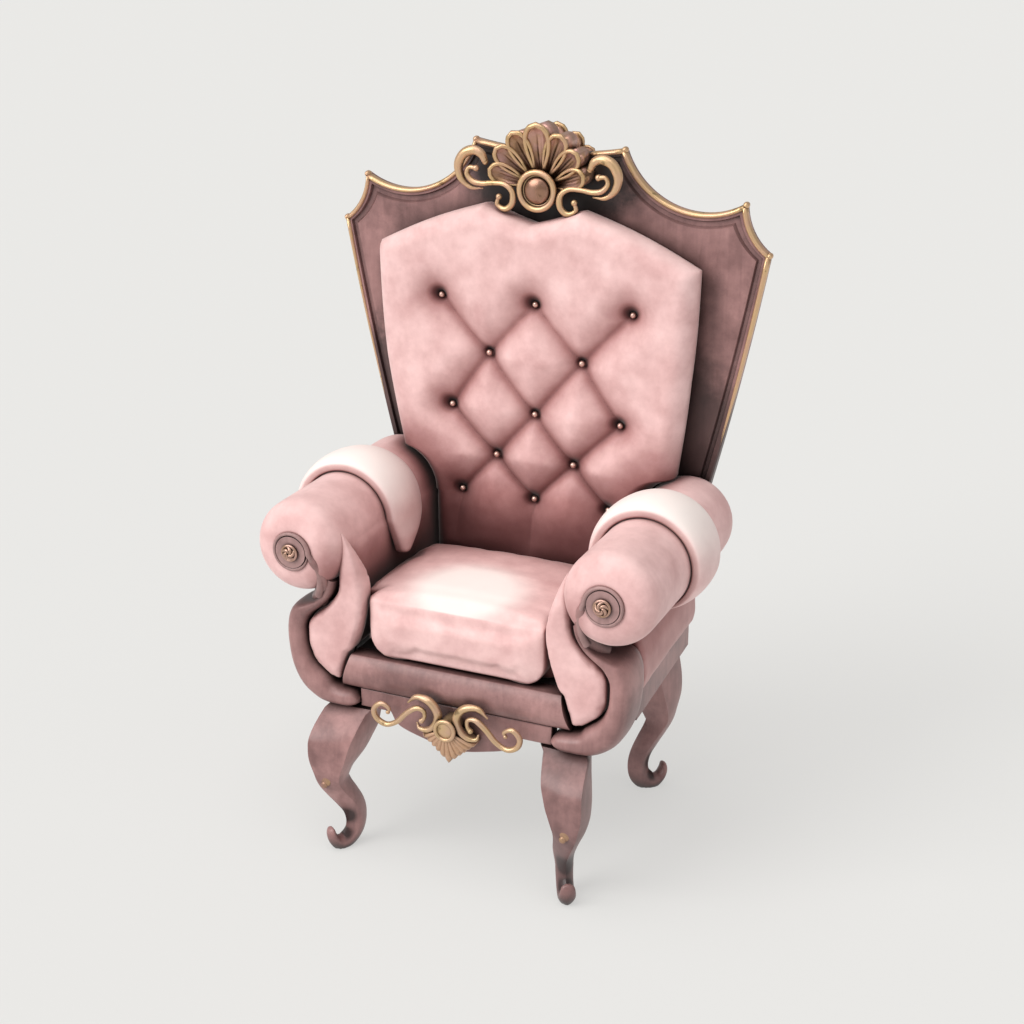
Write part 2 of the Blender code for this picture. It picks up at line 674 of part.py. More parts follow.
for side, word in SIDES:
    band_space = grown(band_outline(), CLEARANCE)
    neck_space = grown(ribbon(placed(NECK), NECK_HALF_WIDTH), CLEARANCE)
    backing_space = grown(backing_outline(), CLEARANCE)
    facing_outline = smooth(placed(FACING_OUTER), 1) + placed(FACING_TIP) + smooth(placed(FACING_INNER), 1)
    facing_space = grown(facing_outline, CLEARANCE)

    bm = bmesh.new()
    board(bm, facing_outline, FACING_Y, FACING_REAR_Y, side)
    facing = keep(bm, f"arm_facing_{word}", velvet)
    for name, outline in (("facing_band_gap", band_space), ("facing_neck_gap", neck_space)):
        gap = slab(f"{name}_{word}", outline, FRONT_Y, FACING_REAR_Y + 0.01, side)
        combine(facing, gap, "DIFFERENCE")

    bm = bmesh.new()
    turned(bm, side * ROLL_X, ARM_HEIGHT, (
        (ROLL_FRONT_Y, ROLL_RADIUS * 0.50), (ROLL_FRONT_Y + ROLL_DOME * 0.12, ROLL_RADIUS * 0.74),
        (ROLL_FRONT_Y + ROLL_DOME * 0.40, ROLL_RADIUS * 0.91), (ROLL_FRONT_Y + ROLL_DOME, ROLL_RADIUS),
        (FRAME_Y - CLEARANCE - 0.025, ROLL_RADIUS), (FRAME_Y - CLEARANCE, ROLL_RADIUS * 0.94),
    ), ROLL_SIDES)
    arm = keep(bm, f"arm_{word}", velvet)
    bm = bmesh.new()
    box(
        bm, side * (SEAT_HALF_WIDTH + CLEARANCE), side * WALL_OUTER_X,
        POST_REAR_Y + CLEARANCE, FRAME_Y - CLEARANCE, SEAT_LEVEL, ARM_HEIGHT - 0.005,
    )
    combine(arm, keep(bm, f"arm_wall_{word}", velvet), "UNION")
    for name, outline, y0, y1 in (
        ("arm_band_gap", band_space, FRONT_Y, POST_REAR_Y),
        ("arm_backing_gap", backing_space, FACING_REAR_Y, POST_REAR_Y),
        ("arm_neck_gap", neck_space, FRONT_Y, FACING_REAR_Y),
        ("arm_facing_gap", facing_space, FRONT_Y, FACING_REAR_Y),
    ):
        combine(arm, slab(f"{name}_{word}", outline, y0, y1 + CLEARANCE, side), "DIFFERENCE")

    sleeve_y = FRONT_Y + SLEEVE_FRONT
    inner_r = ROLL_RADIUS + 2 * CLEARANCE
    turns = 14
    rings = []
    for share, rise in ((0.0, 0.0), (0.02, 0.6), (0.25, 0.9), (0.55, 1.0), (0.85, 0.8), (1.0, 0.0)):
        thick = SLEEVE_LIP + (SLEEVE_CROWN - SLEEVE_LIP) * rise
        outer_r = ROLL_RADIUS + thick
        y = sleeve_y + SLEEVE_LENGTH * share
        wall_x = SEAT_HALF_WIDTH
        skirt_z = SEAT_TOP - SLEEVE_TUCK
        profile = [(wall_x - CLEARANCE, skirt_z), (ROLL_X - outer_r, skirt_z + 0.004)]
        for step in range(turns + 1):
            angle = pi - 2 * pi * step / ROLL_SIDES
            profile.append((ROLL_X + outer_r * cos(angle), ARM_HEIGHT + outer_r * sin(angle)))
        for step in range(turns, -1, -1):
            angle = pi - 2 * pi * step / ROLL_SIDES
            profile.append((ROLL_X + inner_r * cos(angle), ARM_HEIGHT + inner_r * sin(angle)))
        profile.append((wall_x - CLEARANCE, ARM_HEIGHT))
        rings.append([(side * x, y, z) for x, z in profile])
    bm = bmesh.new()
    loft(bm, rings)
    keep(bm, f"arm_sleeve_{word}", velvet)

    panel_low = SIDE_RAIL_TOP + CLEARANCE
    under_roll = ARM_HEIGHT - (ROLL_RADIUS ** 2 - 0.020 ** 2) ** 0.5 - 0.001
    rings = []
    for swell, y in (
        (SIDE_PANEL_SWELL, POST_REAR_Y + CLEARANCE), (SIDE_PANEL_SWELL - SIDE_TAPER, FRAME_Y - CLEARANCE),
    ):
        rings.append([(side * (WALL_OUTER_X + reach), y, z) for reach, z in (
            (CLEARANCE, panel_low), (swell * 0.80, panel_low), (swell, panel_low + 0.030),
            (swell * 0.95, panel_low + 0.065), (swell * 0.72, panel_low + 0.100),
            (swell * 0.45, under_roll - 0.004), (CLEARANCE, under_roll - 0.004),
        )])
    bm = bmesh.new()
    loft(bm, rings)
    keep(bm, f"side_panel_{word}", velvet)


# Cabriole legs with scrolled toes

LEG_STATIONS = (
    (0.400, -0.020, 0.068, 0.060, 1.1), (0.345, -0.016, 0.075, 0.062, 1.1),
    (0.297, -0.010, 0.078, 0.058, 1.1), (0.265, -0.001, 0.072, 0.055, 1.1),
    (0.235, 0.0075, 0.0625, 0.052, 1.15), (0.205, 0.0165, 0.046, 0.045, 1.2),
    (0.180, 0.017, 0.037, 0.037, 1.3), (0.155, 0.004, 0.031, 0.031, 1.4),
    (0.130, -0.012, 0.029, 0.027, 1.5), (0.105, -0.0265, 0.0275, 0.023, 1.8),
    (0.082, -0.034, 0.027, 0.020, 2.0), (0.060, -0.035, 0.026, 0.019, 2.0),
    (0.040, -0.029, 0.025, 0.0185, 2.0), (0.024, -0.014, 0.024, 0.0185, 2.0),
    (0.0185, 0.004, 0.021, 0.0185, 2.0), (0.028, 0.021, 0.012, 0.018, 2.0),
    (0.044, 0.0285, 0.008, 0.015, 2.0), (0.058, 0.029, 0.004, 0.011, 2.0),
)


def leg_rings(x_side, y_side, foot_y, grow, top):
    """Rings along the bent line of a leg, which leans out over its foot on the diagonal."""
    rings = []
    line = [(u, z) for z, u, *_ in LEG_STATIONS]
    for i, (z, u, along, across, power) in enumerate(LEG_STATIONS):
        z = min(z, top)
        (au, az), (bu, bz) = line[max(i - 1, 0)], line[min(i + 1, len(line) - 1)]
        length = hypot(bu - au, bz - az)
        nu, nz = -(bz - az) / length, (bu - au) / length
        if i < TOP_STATIONS:
            nu, nz = 1.0, 0.0
        ring = []
        for step in range(LEG_SIDES):
            angle = 2 * pi * step / LEG_SIDES
            c, s = cos(angle), sin(angle)
            size = (abs(c) ** power + abs(s) ** power) ** (-1 / power)
            a, b = (along + grow) * size * c, (across + grow) * size * s
            reach, height = u + nu * a, max(z + nz * a - FOOT_FLAT, 0.0)
            ring.append((
                x_side * (FOOT_X + (reach + b) * cos(pi / 4)),
                foot_y + y_side * (reach - b) * cos(pi / 4),
                height,
            ))
        rings.append(ring)
    return rings


for x_side, word in SIDES:
    for y_side, end in ((-1, "front"), (1, "rear")):
        foot_y = FRONT_Y + FOOT_FRONT_Y if end == "front" else REAR_Y - FOOT_REAR_Y
        top = RAIL_BOTTOM - CLEARANCE + FOOT_FLAT
        bm = bmesh.new()
        loft(bm, leg_rings(x_side, y_side, foot_y, 0.0, top))
        leg = keep(bm, f"leg_{end}_{word}", wood)
        if end == "front":
            post_gap = bmesh.new()
            box(
                post_gap, x_side * 0.10, x_side * 0.45, POST_Y - CLEARANCE - 0.012, POST_REAR_Y + 0.08,
                POST_BOTTOM - CLEARANCE, RAIL_BOTTOM + 0.05,
            )
            combine(leg, keep(post_gap, f"post_gap_{word}", wood), "DIFFERENCE")
        mount = bmesh.new()
        centre_x = FOOT_X + LEG_MOUNT_OUT * cos(pi / 4)
        face_y = foot_y + y_side * (LEG_MOUNT_OUT * cos(pi / 4) + MOUNT_REACH)
        rings = []
        dome = ((-0.010, 1.0), (0.002, 1.0), (LEG_MOUNT_RISE - 0.002, 0.7), (LEG_MOUNT_RISE, 0.3))
        for depth, share in dome:
            rings.append([
                (
                    x_side * centre_x + LEG_MOUNT_HALF_WIDTH * share * cos(2 * pi * i / 8),
                    face_y + y_side * depth,
                    LEG_MOUNT_HEIGHT + LEG_MOUNT_HALF_HEIGHT * share * sin(2 * pi * i / 8),
                )
                for i in range(8)
            ])
        loft(mount, rings)
        mount = keep(mount, f"leg_mount_{end}_{word}", gilt)
        bm = bmesh.new()
        loft(bm, leg_rings(x_side, y_side, foot_y, CLEARANCE * 1.5, top))
        combine(mount, keep(bm, f"leg_space_{end}_{word}", wood), "DIFFERENCE")


# Gilt mount of the crest, with the second shell behind

crest_back = FRAME_Y - CLEARANCE
bm = bmesh.new()
shell(
    bm, 0.0, CREST_HEIGHT, BOSS_RADIUS * 0.7, SHELL_RADIUS, SHELL_LOBES, 14, 166,
    crest_back - CREST_DEPTH * 0.98, crest_back,
)
crest = keep(bm, "crest_mount", gilt)
bm = bmesh.new()
boss(bm, 0.0, CREST_HEIGHT, BOSS_RADIUS, crest_back - CREST_DEPTH, crest_back)
combine(crest, keep(bm, "crest_boss", gilt), "UNION")
for side, word in SIDES:
    curl = spiral(BOSS_RADIUS + 0.031, CREST_HEIGHT - 0.017, 95, 300, 0.034, 0.010, 1.0, 8)[::-1]
    horn = spiral(SHELL_RADIUS + 0.016, CREST_HEIGHT + 0.039, -95, 440, 0.037, 0.008, 1.8, 14)
    stem = [(BOSS_RADIUS + 0.057, CREST_HEIGHT + 0.015), (SHELL_RADIUS - 0.007, CREST_HEIGHT + 0.008)]
    way = curl + stem + horn
    points, radii = [], []
    for i, (x, z) in enumerate(way):
        t = i / (len(way) - 1)
        points.append((side * x, crest_back - CREST_DEPTH * 0.72, z))
        radii.append(0.0055 + 0.005 * sin(pi * t) ** 0.7)
    combine(crest, rod(f"crest_scroll_{word}", gilt, points, radii), "UNION")

bm = bmesh.new()
shell(
    bm, 0.0, CREST_HEIGHT, BOSS_RADIUS * 0.5, SHELL_RADIUS * REAR_SHELL_SHARE, SHELL_LOBES, 14, 166,
    -(FRAME_REAR_Y + CLEARANCE + SHELL_THICKNESS), -(FRAME_REAR_Y + CLEARANCE),
)
bmesh.ops.scale(bm, verts=bm.verts, vec=(1, -1, 1))
rear_shell = keep(bm, "crest_shell_rear", gilt)
rear_gap = bmesh.new()
box(
    rear_gap, -SHELL_RADIUS, SHELL_RADIUS, FRAME_Y, FRAME_REAR_Y + PANEL_THICKNESS + 2 * CLEARANCE,
    CREST_HEIGHT - SHELL_RADIUS, panel_top + CLEARANCE,
)
combine(rear_shell, keep(rear_gap, "rear_panel_gap", gilt), "DIFFERENCE")


# Gilt mount of the apron

apron_back = RAIL_FRONT_Y - CLEARANCE
bm = bmesh.new()
shell(
    bm, 0.0, APRON_MOUNT_HEIGHT, APRON_BOSS_RADIUS * 0.7, APRON_SHELL_RADIUS, SHELL_LOBES, 18, 162,
    apron_back - APRON_MOUNT_DEPTH * 0.72, apron_back, True,
)
apron_mount = keep(bm, "apron_mount", gilt)
bm = bmesh.new()
boss(bm, 0.0, APRON_MOUNT_HEIGHT, APRON_BOSS_RADIUS, apron_back - APRON_MOUNT_DEPTH, apron_back)
combine(apron_mount, keep(bm, "apron_boss", gilt), "UNION")
for side, word in SIDES:
    inner = spiral(0.056, APRON_MOUNT_HEIGHT + 0.029, 20, 400, 0.036, 0.011, 1.6, 13)[::-1]
    ring = spiral(0.147, APRON_MOUNT_HEIGHT + 0.012, -100, 290, 0.023, 0.016, 1.0, 9)
    way = inner + [(0.108, APRON_MOUNT_HEIGHT + 0.018), (0.124, APRON_MOUNT_HEIGHT - 0.006)] + ring
    points, radii = [], []
    for i, (x, z) in enumerate(way):
        t = i / (len(way) - 1)
        points.append((side * x, apron_back - APRON_MOUNT_DEPTH * 0.70, z))
        radii.append(0.0045 + 0.004 * sin(pi * t) ** 0.7)
    combine(apron_mount, rod(f"apron_scroll_{word}", gilt, points, radii), "UNION")

rail_space = bmesh.new()
moulding(rail_space, rail_profile(CLEARANCE), -rail_half, rail_half)
combine(apron_mount, keep(rail_space, "rail_space", gilt), "DIFFERENCE")
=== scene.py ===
from math import atan2, cos, exp, hypot, pi, radians, sin, sqrt

import bmesh
import bpy
from mathutils import Matrix, Vector


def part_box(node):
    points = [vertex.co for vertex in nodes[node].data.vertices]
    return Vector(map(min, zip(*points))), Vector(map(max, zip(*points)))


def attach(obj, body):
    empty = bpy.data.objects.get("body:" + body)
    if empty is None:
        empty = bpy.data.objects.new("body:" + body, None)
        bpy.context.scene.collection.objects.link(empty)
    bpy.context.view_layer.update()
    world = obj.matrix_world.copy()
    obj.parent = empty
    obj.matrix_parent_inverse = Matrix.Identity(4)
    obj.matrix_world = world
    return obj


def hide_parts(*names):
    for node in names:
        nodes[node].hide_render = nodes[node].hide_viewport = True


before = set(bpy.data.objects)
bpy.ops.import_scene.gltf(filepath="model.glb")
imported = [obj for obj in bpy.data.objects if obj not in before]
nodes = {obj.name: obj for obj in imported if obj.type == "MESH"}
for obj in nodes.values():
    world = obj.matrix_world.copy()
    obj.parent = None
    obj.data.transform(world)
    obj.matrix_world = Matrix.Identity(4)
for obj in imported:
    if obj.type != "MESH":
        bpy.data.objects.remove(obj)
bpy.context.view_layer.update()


# Legs.
# Four cabriole legs of carved beech in a mauve-brown stain, screwed up under the corners of the
# seat frame. Each is sawn on the diagonal, with a sharp arris at the knee and a toe curled forward.

def filled(tree, node, sockets):
    """Fills the sockets of a node, each with a constant or with what another node gives."""
    for socket, source in sockets.items():
        if isinstance(source, bpy.types.NodeSocket):
            tree.links.new(source, node.inputs[socket])
        else:
            node.inputs[socket].default_value = source
    return node


def added(tree, kind, sockets, **settings):
    """Adds a node to a finish."""
    node = tree.nodes.new(kind)
    for name, setting in settings.items():
        setattr(node, name, setting)
    return filled(tree, node, sockets)


def new_finish(name):
    """Starts a finish: its material, its nodes, its shader and the places that its patterns follow."""
    material = bpy.data.materials.new(name)
    material.use_nodes = True
    tree = material.node_tree
    place = tree.nodes.new("ShaderNodeTexCoord").outputs["Object"]
    return material, tree, tree.nodes["Principled BSDF"], place


def clouded(tree, place, scale, detail, roughness=0.5, distortion=0.0):
    """Cloudy noise."""
    return added(tree, "ShaderNodeTexNoise", {
        "Vector": place, "Scale": scale, "Detail": detail, "Roughness": roughness, "Distortion": distortion,
    }).outputs["Fac"]


def soft_spot(tree, place, centre, size, kind):
    """A ball that fades from its centre to its edge."""
    spot = added(
        tree, "ShaderNodeMapping", {"Vector": place, "Location": centre, "Scale": size}, vector_type="TEXTURE",
    )
    return added(
        tree, "ShaderNodeTexGradient", {"Vector": spot.outputs["Vector"]}, gradient_type=kind,
    ).outputs["Fac"]


def graded(tree, value, *stops):
    """Turns a value into a colour by stops, each a position and a colour."""
    ramp = added(tree, "ShaderNodeValToRGB", {"Fac": value})
    elements = ramp.color_ramp.elements
    elements[0].position, elements[-1].position = stops[0][0], stops[-1][0]
    for position, _ in stops[1:-1]:
        elements.new(position)
    for element, (_, colour) in zip(elements, stops):
        element.color = (*colour, 1.0)
    return ramp.outputs["Color"]


def eased_in(tree, value, low, high, most):
    """Rises softly from nothing at the low value to the most at the high one."""
    return added(tree, "ShaderNodeMapRange", {
        "Value": value, "From Min": low, "From Max": high, "To Max": most,
    }, interpolation_type="SMOOTHSTEP").outputs["Result"]


def ranged(tree, value, least, most):
    """Spreads a value from 0 to 1 over a range."""
    return added(
        tree, "ShaderNodeMapRange", {"Value": value, "To Min": least, "To Max": most},
    ).outputs["Result"]


def worked_out(tree, operation, *values):
    """A sum of two or three values."""
    return added(tree, "ShaderNodeMath", dict(enumerate(values)), operation=operation).outputs["Value"]


def mixed(tree, share, under, over, blend="MIX"):
    """Lays one colour over another."""
    return added(
        tree, "ShaderNodeMix", {"Factor": share, "A": under, "B": over}, data_type="RGBA", blend_type=blend,
    ).outputs["Result"]


def openness(tree, reach):
    """How open a place is within the reach: nothing in a tight corner, one in the open."""
    return added(tree, "ShaderNodeAmbientOcclusion", {"Distance": reach}, samples=8).outputs["AO"]


def painted_fold_shade(tree):
    """The share of painted shade that a piece holds at each of its points."""
    return added(tree, "ShaderNodeAttribute", {}, attribute_name="painted_fold_shade").outputs["Fac"]


def relief(tree, height, strength, distance):
    """Fine relief on the surface."""
    return added(
        tree, "ShaderNodeBump", {"Height": height, "Strength": strength, "Distance": distance},
    ).outputs["Normal"]


BLACK, WHITE = (0.0, 0.0, 0.0), (1.0, 1.0, 1.0)


def stained_wood(name, light, dark, painted_shadows=()):
    """Satin stain over close-grained wood: cloudy colour, long grain, painted shade in corners and folds,
    painted shadows in spots.
    """
    material, tree, shader, place = new_finish(name)
    stretch = added(tree, "ShaderNodeMapping", {"Vector": place, "Scale": (26.0, 26.0, 3.0)})
    grain = clouded(tree, stretch.outputs["Vector"], 2.2, 7.0, distortion=0.8)
    cloud = clouded(tree, place, 11.0, 5.0, 0.62)
    tone = graded(tree, worked_out(tree, "MULTIPLY_ADD", grain, 0.35, cloud), (0.50, dark), (0.86, light))
    stain = clouded(tree, place, 4.5, 8.0, 0.70)
    streak = graded(tree, stain, (0.50, BLACK), (0.64, (0.55, 0.55, 0.55)))
    streaked = mixed(tree, streak, tone, (0.135, 0.060, 0.058, 1.0))
    # Painted shade: the colour is darkened nearly to black in tight corners.
    painted_shade = graded(tree, openness(tree, 0.080), (0.22, (0.030, 0.016, 0.015)), (0.90, WHITE))
    corner_shaded = mixed(tree, 1.0, streaked, painted_shade, "MULTIPLY")
    # Painted shade from the piece's own attribute: folds, hollows and places under or between parts.
    colour = mixed(tree, painted_fold_shade(tree), corner_shaded, (0.030, 0.012, 0.012, 1.0))
    # Each painted shadow is a ball with ragged edges, darkened nearly to black.
    for centre, size, strength in painted_shadows:
        ball = soft_spot(tree, place, centre, size, "SPHERICAL")
        ragged = worked_out(tree, "MULTIPLY_ADD", stain, 0.9, ball)
        colour = mixed(tree, eased_in(tree, ragged, 0.52, 0.84, strength), colour, (0.012, 0.006, 0.006, 1.0))
    filled(tree, shader, {
        "Base Color": colour, "Roughness": ranged(tree, cloud, 0.34, 0.58), "Specular IOR Level": 0.45,
        "Coat Weight": 0.22, "Coat Roughness": 0.30, "Normal": relief(tree, grain, 0.16, 0.0012),
    })
    return material


mauve_wood = stained_wood("mauve_stained_wood", (0.425, 0.228, 0.216), (0.225, 0.112, 0.107))


def fitted(bm, name, material, slot, *stands_for):
    """Closes up a piece, gives it its finish and fixes it to the throne in place of its plain solids."""
    bmesh.ops.recalc_face_normals(bm, faces=bm.faces)
    mesh = bpy.data.meshes.new(name)
    bm.to_mesh(mesh)
    bm.free()
    mesh.polygons.foreach_set("use_smooth", [True] * len(mesh.polygons))
    mesh.materials.append(material)
    piece = bpy.data.objects.new(name, mesh)
    bpy.context.scene.collection.objects.link(piece)
    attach(piece, "root")
    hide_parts(*stands_for)
    return piece


def creased(piece, angle):
    """Keeps the edges crisp that are sharper than an angle in degrees."""
    piece.data.set_sharp_from_angle(angle=radians(angle))


def verts_of(made):
    """The vertices among what an operator made."""
    return [item for item in made if isinstance(item, bmesh.types.BMVert)]


def open_edges_of(made):
    """The open edges among what an operator made."""
    return [item for item in made if isinstance(item, bmesh.types.BMEdge) and item.is_boundary]


def through(points, steps):
    """Points on a smooth curve through all the given ones."""
    ends = [tuple(2 * a - b for a, b in zip(points[0], points[1]))]
    ends += list(points) + [tuple(2 * a - b for a, b in zip(points[-1], points[-2]))]
    found = []
    for i in range(1, len(ends) - 2):
        for step in range(steps):
            t = step / steps
            square, cube = t * t, t ** 3
            found.append(tuple(
                b + 0.5 * ((c - a) * t + (2 * a - 5 * b + 4 * c - d) * square + (3 * b - a - 3 * c + d) * cube)
                for a, b, c, d in zip(ends[i - 1], ends[i], ends[i + 1], ends[i + 2])
            ))
    return found + [tuple(points[-1])]


def drawn_out(bm, sides, stations, place):
    """Draws a ring of points out through the stations; place gives each point of each ring."""
    ring = bmesh.ops.create_circle(bm, segments=sides, radius=1.0)["verts"]
    loops = [list(ring)]
    for _ in stations[1:]:
        edges = [edge for edge in bm.edges if edge.verts[0] in loops[-1] and edge.verts[1] in loops[-1]]
        made = bmesh.ops.extrude_edge_only(bm, edges=edges)["geom"]
        new = verts_of(made)
        order = []
        for vert in loops[-1]:
            order.append(next(e.other_vert(vert) for e in vert.link_edges if e.other_vert(vert) in new))
        loops.append(order)
    for station, loop in zip(stations, loops):
        for i, vert in enumerate(loop):
            vert.co = place(station, 2 * pi * i / sides)
    for loop in (loops[0], loops[-1]):
        bmesh.ops.contextual_create(bm, geom=loop)
    return loops


FOOT_X = 0.264
LEG_LINE = (
    (0.3917, -0.020, 0.068, 0.060, 1.12), (0.345, -0.016, 0.075, 0.062, 1.12),
    (0.297, -0.010, 0.078, 0.058, 1.12), (0.265, -0.001, 0.072, 0.055, 1.12),
    (0.235, 0.0075, 0.0625, 0.052, 1.14), (0.205, 0.0165, 0.046, 0.045, 1.18),
    (0.180, 0.017, 0.037, 0.037, 1.22), (0.155, 0.004, 0.031, 0.031, 1.26),
    (0.130, -0.012, 0.029, 0.027, 1.30), (0.105, -0.0265, 0.0275, 0.023, 1.35),
    (0.082, -0.034, 0.027, 0.020, 1.4), (0.060, -0.035, 0.026, 0.019, 1.4),
    (0.040, -0.029, 0.025, 0.0185, 1.4), (0.024, -0.014, 0.024, 0.0185, 1.4),
    (0.0185, 0.004, 0.021, 0.0185, 1.5), (0.028, 0.021, 0.0135, 0.018, 1.6),
    (0.044, 0.0290, 0.0100, 0.0165, 1.7), (0.057, 0.0295, 0.0065, 0.013, 1.8),
    (0.0625, 0.0275, 0.0012, 0.005, 2.0),
)
leg_line = through(LEG_LINE, 4)
SHOULDER, LEDGE = 0.262, 0.3357
FOOT_SIDES = 32
# The legs on the right are painted darker all over as shade, the front one most.
for x_side, word, front_painted_shade, rear_painted_shade in ((-1, "left", 0.0, 0.0), (1, "right", 0.30, 0.12)):
    for y_side, end, foot_y, painted_side_shade in ((-1, "front", -0.2615, front_painted_shade), (1, "rear", 0.2623, rear_painted_shade)):

        def leg_place(i, angle):
            z, u, along, across, power = leg_line[i]
            before, after = leg_line[max(i - 1, 0)], leg_line[min(i + 1, len(leg_line) - 1)]
            du, dz = after[1] - before[1], after[0] - before[0]
            length = hypot(du, dz)
            lean = min(max((i - 20) / 8, 0.0), 1.0)
            nu, nz = 1 - lean + lean * (-dz / length), lean * du / length
            heading = radians(45)
            if end == "front":
                heading = radians(45 - 16 * min(max((i - 18) / 24, 0.0), 1.0))
                tuck = min(max((z - 0.006 - SHOULDER) / (LEDGE - SHOULDER), 0.0), 1.3) ** 2
                u = u - 0.007 * tuck
            c, s = cos(angle), sin(angle)
            size = (abs(c) ** power + abs(s) ** power) ** (-1 / power)
            a, b = along * size * c, across * size * s
            reach = u + nu * a
            height = min(max(z + nz * a - 0.006, 0.0), 0.3857)
            y = foot_y + y_side * (reach * cos(heading) - b * sin(heading))
            if end == "front" and y < -0.222:
                y = -0.222 + (y + 0.222) * (1 - 0.80 * min(tuck, 1.0))
            return Vector((x_side * (FOOT_X + reach * sin(heading) + b * cos(heading)), y, height))

        bm = bmesh.new()
        painted_dark = bm.verts.layers.float.new("painted_fold_shade")
        loops = drawn_out(bm, FOOT_SIDES, list(range(len(leg_line))), leg_place)
        # Painted shade: the hollows at the ankle and under the curled toe are darkened, most on one side.
        for i, loop in enumerate(loops):
            hollow = exp(-((i - 39) / 4.5) ** 2) + exp(-((i - 52) / 3.5) ** 2)
            for number, vert in enumerate(loop):
                inward = max(cos(2 * pi * number / FOOT_SIDES) - 0.15, 0.0) / 0.75
                vert[painted_dark] = min(painted_side_shade + 1.8 * hollow * inward, 0.96)
        if end == "front":
            cut = bmesh.ops.bisect_plane(
                bm, geom=bm.verts[:] + bm.edges[:] + bm.faces[:], plane_co=(0, 0, LEDGE), plane_no=(0, 0, 1),
                clear_outer=True,
            )
            rim = [item for item in cut["geom_cut"] if isinstance(item, bmesh.types.BMEdge)]
            top = bmesh.ops.holes_fill(bm, edges=rim)["faces"][0]
            for vert in top.verts:
                vert.co.x -= 0.006 * x_side
        leg = fitted(bm, f"cabriole_leg_{end}_{word}", mauve_wood, "stained_wood", f"leg_{end}_{word}")
        creased(leg, 38)


# Seat frame.
# A beech frame under the cushion: the front rail has a swelled moulding, the others are plain.
# A shaped apron with a moulded lower edge is glued under the front rail, and a cloth deck closes it.

def board(bm, outline, y0, y1, side=1):
    """Saws a board to an outline in X and Z, from y0 to y1, and gives its front face."""
    face = bm.faces.new([bm.verts.new((side * x, y1, z)) for x, z in outline])
    made = bmesh.ops.extrude_face_region(bm, geom=[face])["geom"]
    bmesh.ops.translate(bm, verts=verts_of(made), vec=(0, y0 - y1, 0))
    return next(item for item in made if isinstance(item, bmesh.types.BMFace))


def eased(bm, face, width, segments):
    """Rounds the edges round a face."""
    bmesh.ops.bevel(
        bm, geom=list(face.edges), offset=width, offset_type="OFFSET", affect="EDGES",
        segments=segments, profile=0.5, material=-1, clamp_overlap=True,
    )


low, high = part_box("seat_rail_front")
bm = bmesh.new()
rail_back = -0.2015
profile = [(rail_back, high.z), (-0.2395, high.z), (-0.2415, high.z - 0.0008), (-0.2430, high.z - 0.003)]
for i in range(1, 16):
    t = i / 16
    profile.append((-0.2415 - 0.0135 * sin(pi * t) ** 0.8, high.z - 0.075 * t))
profile += [(-0.2415, low.z + 0.001), (-0.2395, low.z), (rail_back, low.z)]
face = bm.faces.new([bm.verts.new((low.x, y, z)) for y, z in profile])
made = bmesh.ops.extrude_face_region(bm, geom=[face])["geom"]
bmesh.ops.translate(bm, verts=verts_of(made), vec=(high.x - low.x, 0, 0))
for vert in bm.verts:
    vert.co.x += (1 if vert.co.x > 0 else -1) * 0.022 * (high.z - vert.co.z) / 0.075
front_rail = fitted(bm, "front_rail", mauve_wood, "stained_wood", "seat_rail_front")
creased(front_rail, 40)

low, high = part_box("front_apron")
apron_edge = through([(0.150, 0.343), (0.128, 0.313), (0.060, 0.292), (0.0, 0.280)], 8)
apron_half = [(0.0, high.z), (high.x, high.z), (high.x, 0.343)] + apron_edge
bm = bmesh.new()
front = board(bm, apron_half + [(-x, z) for x, z in reversed(apron_half) if x > 1e-6], low.y, high.y)
eased(bm, front, 0.004, 3)
apron = fitted(bm, "apron", mauve_wood, "stained_wood", "front_apron")
creased(apron, 40)

for rail in ("seat_rail_left", "seat_rail_right", "seat_rail_rear"):
    nodes[rail].data.materials.clear()
    nodes[rail].data.materials.append(mauve_wood)


def plain_cloth(name, colour):
    """Coarse dark lining cloth with a visible weave."""
    material, tree, shader, place = new_finish(name)
    weave = added(tree, "ShaderNodeTexVoronoi", {"Vector": place, "Scale": 420.0}).outputs["Distance"]
    tone = graded(tree, weave, (0.0, colour), (1.0, tuple(2.2 * part for part in colour)))
    filled(tree, shader, {"Base Color": tone, "Roughness": 0.95, "Normal": relief(tree, weave, 0.4, 0.0006)})
    return material


deck_cloth = plain_cloth("dark_deck_cloth", (0.012, 0.008, 0.008))
nodes["seat_deck"].data.materials.clear()
nodes["seat_deck"].data.materials.append(deck_cloth)


# Back frame.
# A shield of stained board with two pairs of horns. A groove runs just inside its edge,
# and the gilt edging is pinned outside the groove.

def bowed(start, end, sag, steps):
    """Points from start to just short of end on an arc that bulges to the left of the way by sag."""
    (ax, az), (bx, bz) = start, end
    length = hypot(bx - ax, bz - az)
    nx, nz = (az - bz) / length, (bx - ax) / length
    radius = (length * length / 4 + sag * sag) / (2 * abs(sag))
    points = []
    for step in range(steps):
        t = step / steps
        across = sqrt(radius * radius - (length * (t - 0.5)) ** 2) - (radius - abs(sag))
        across = across if sag > 0 else -across
        points.append((ax + (bx - ax) * t + nx * across, az + (bz - az) * t + nz * across))
    return points


FRAME_CORNERS = ((0.0, 1.456), (0.170, 1.473), (0.434, 1.381), (0.488, 1.279), (0.275, 0.386))
FRAME_SAGS = (-0.004, -0.067, -0.0145, 0.014)
FRAME_STEPS = (8, 28, 10, 30)


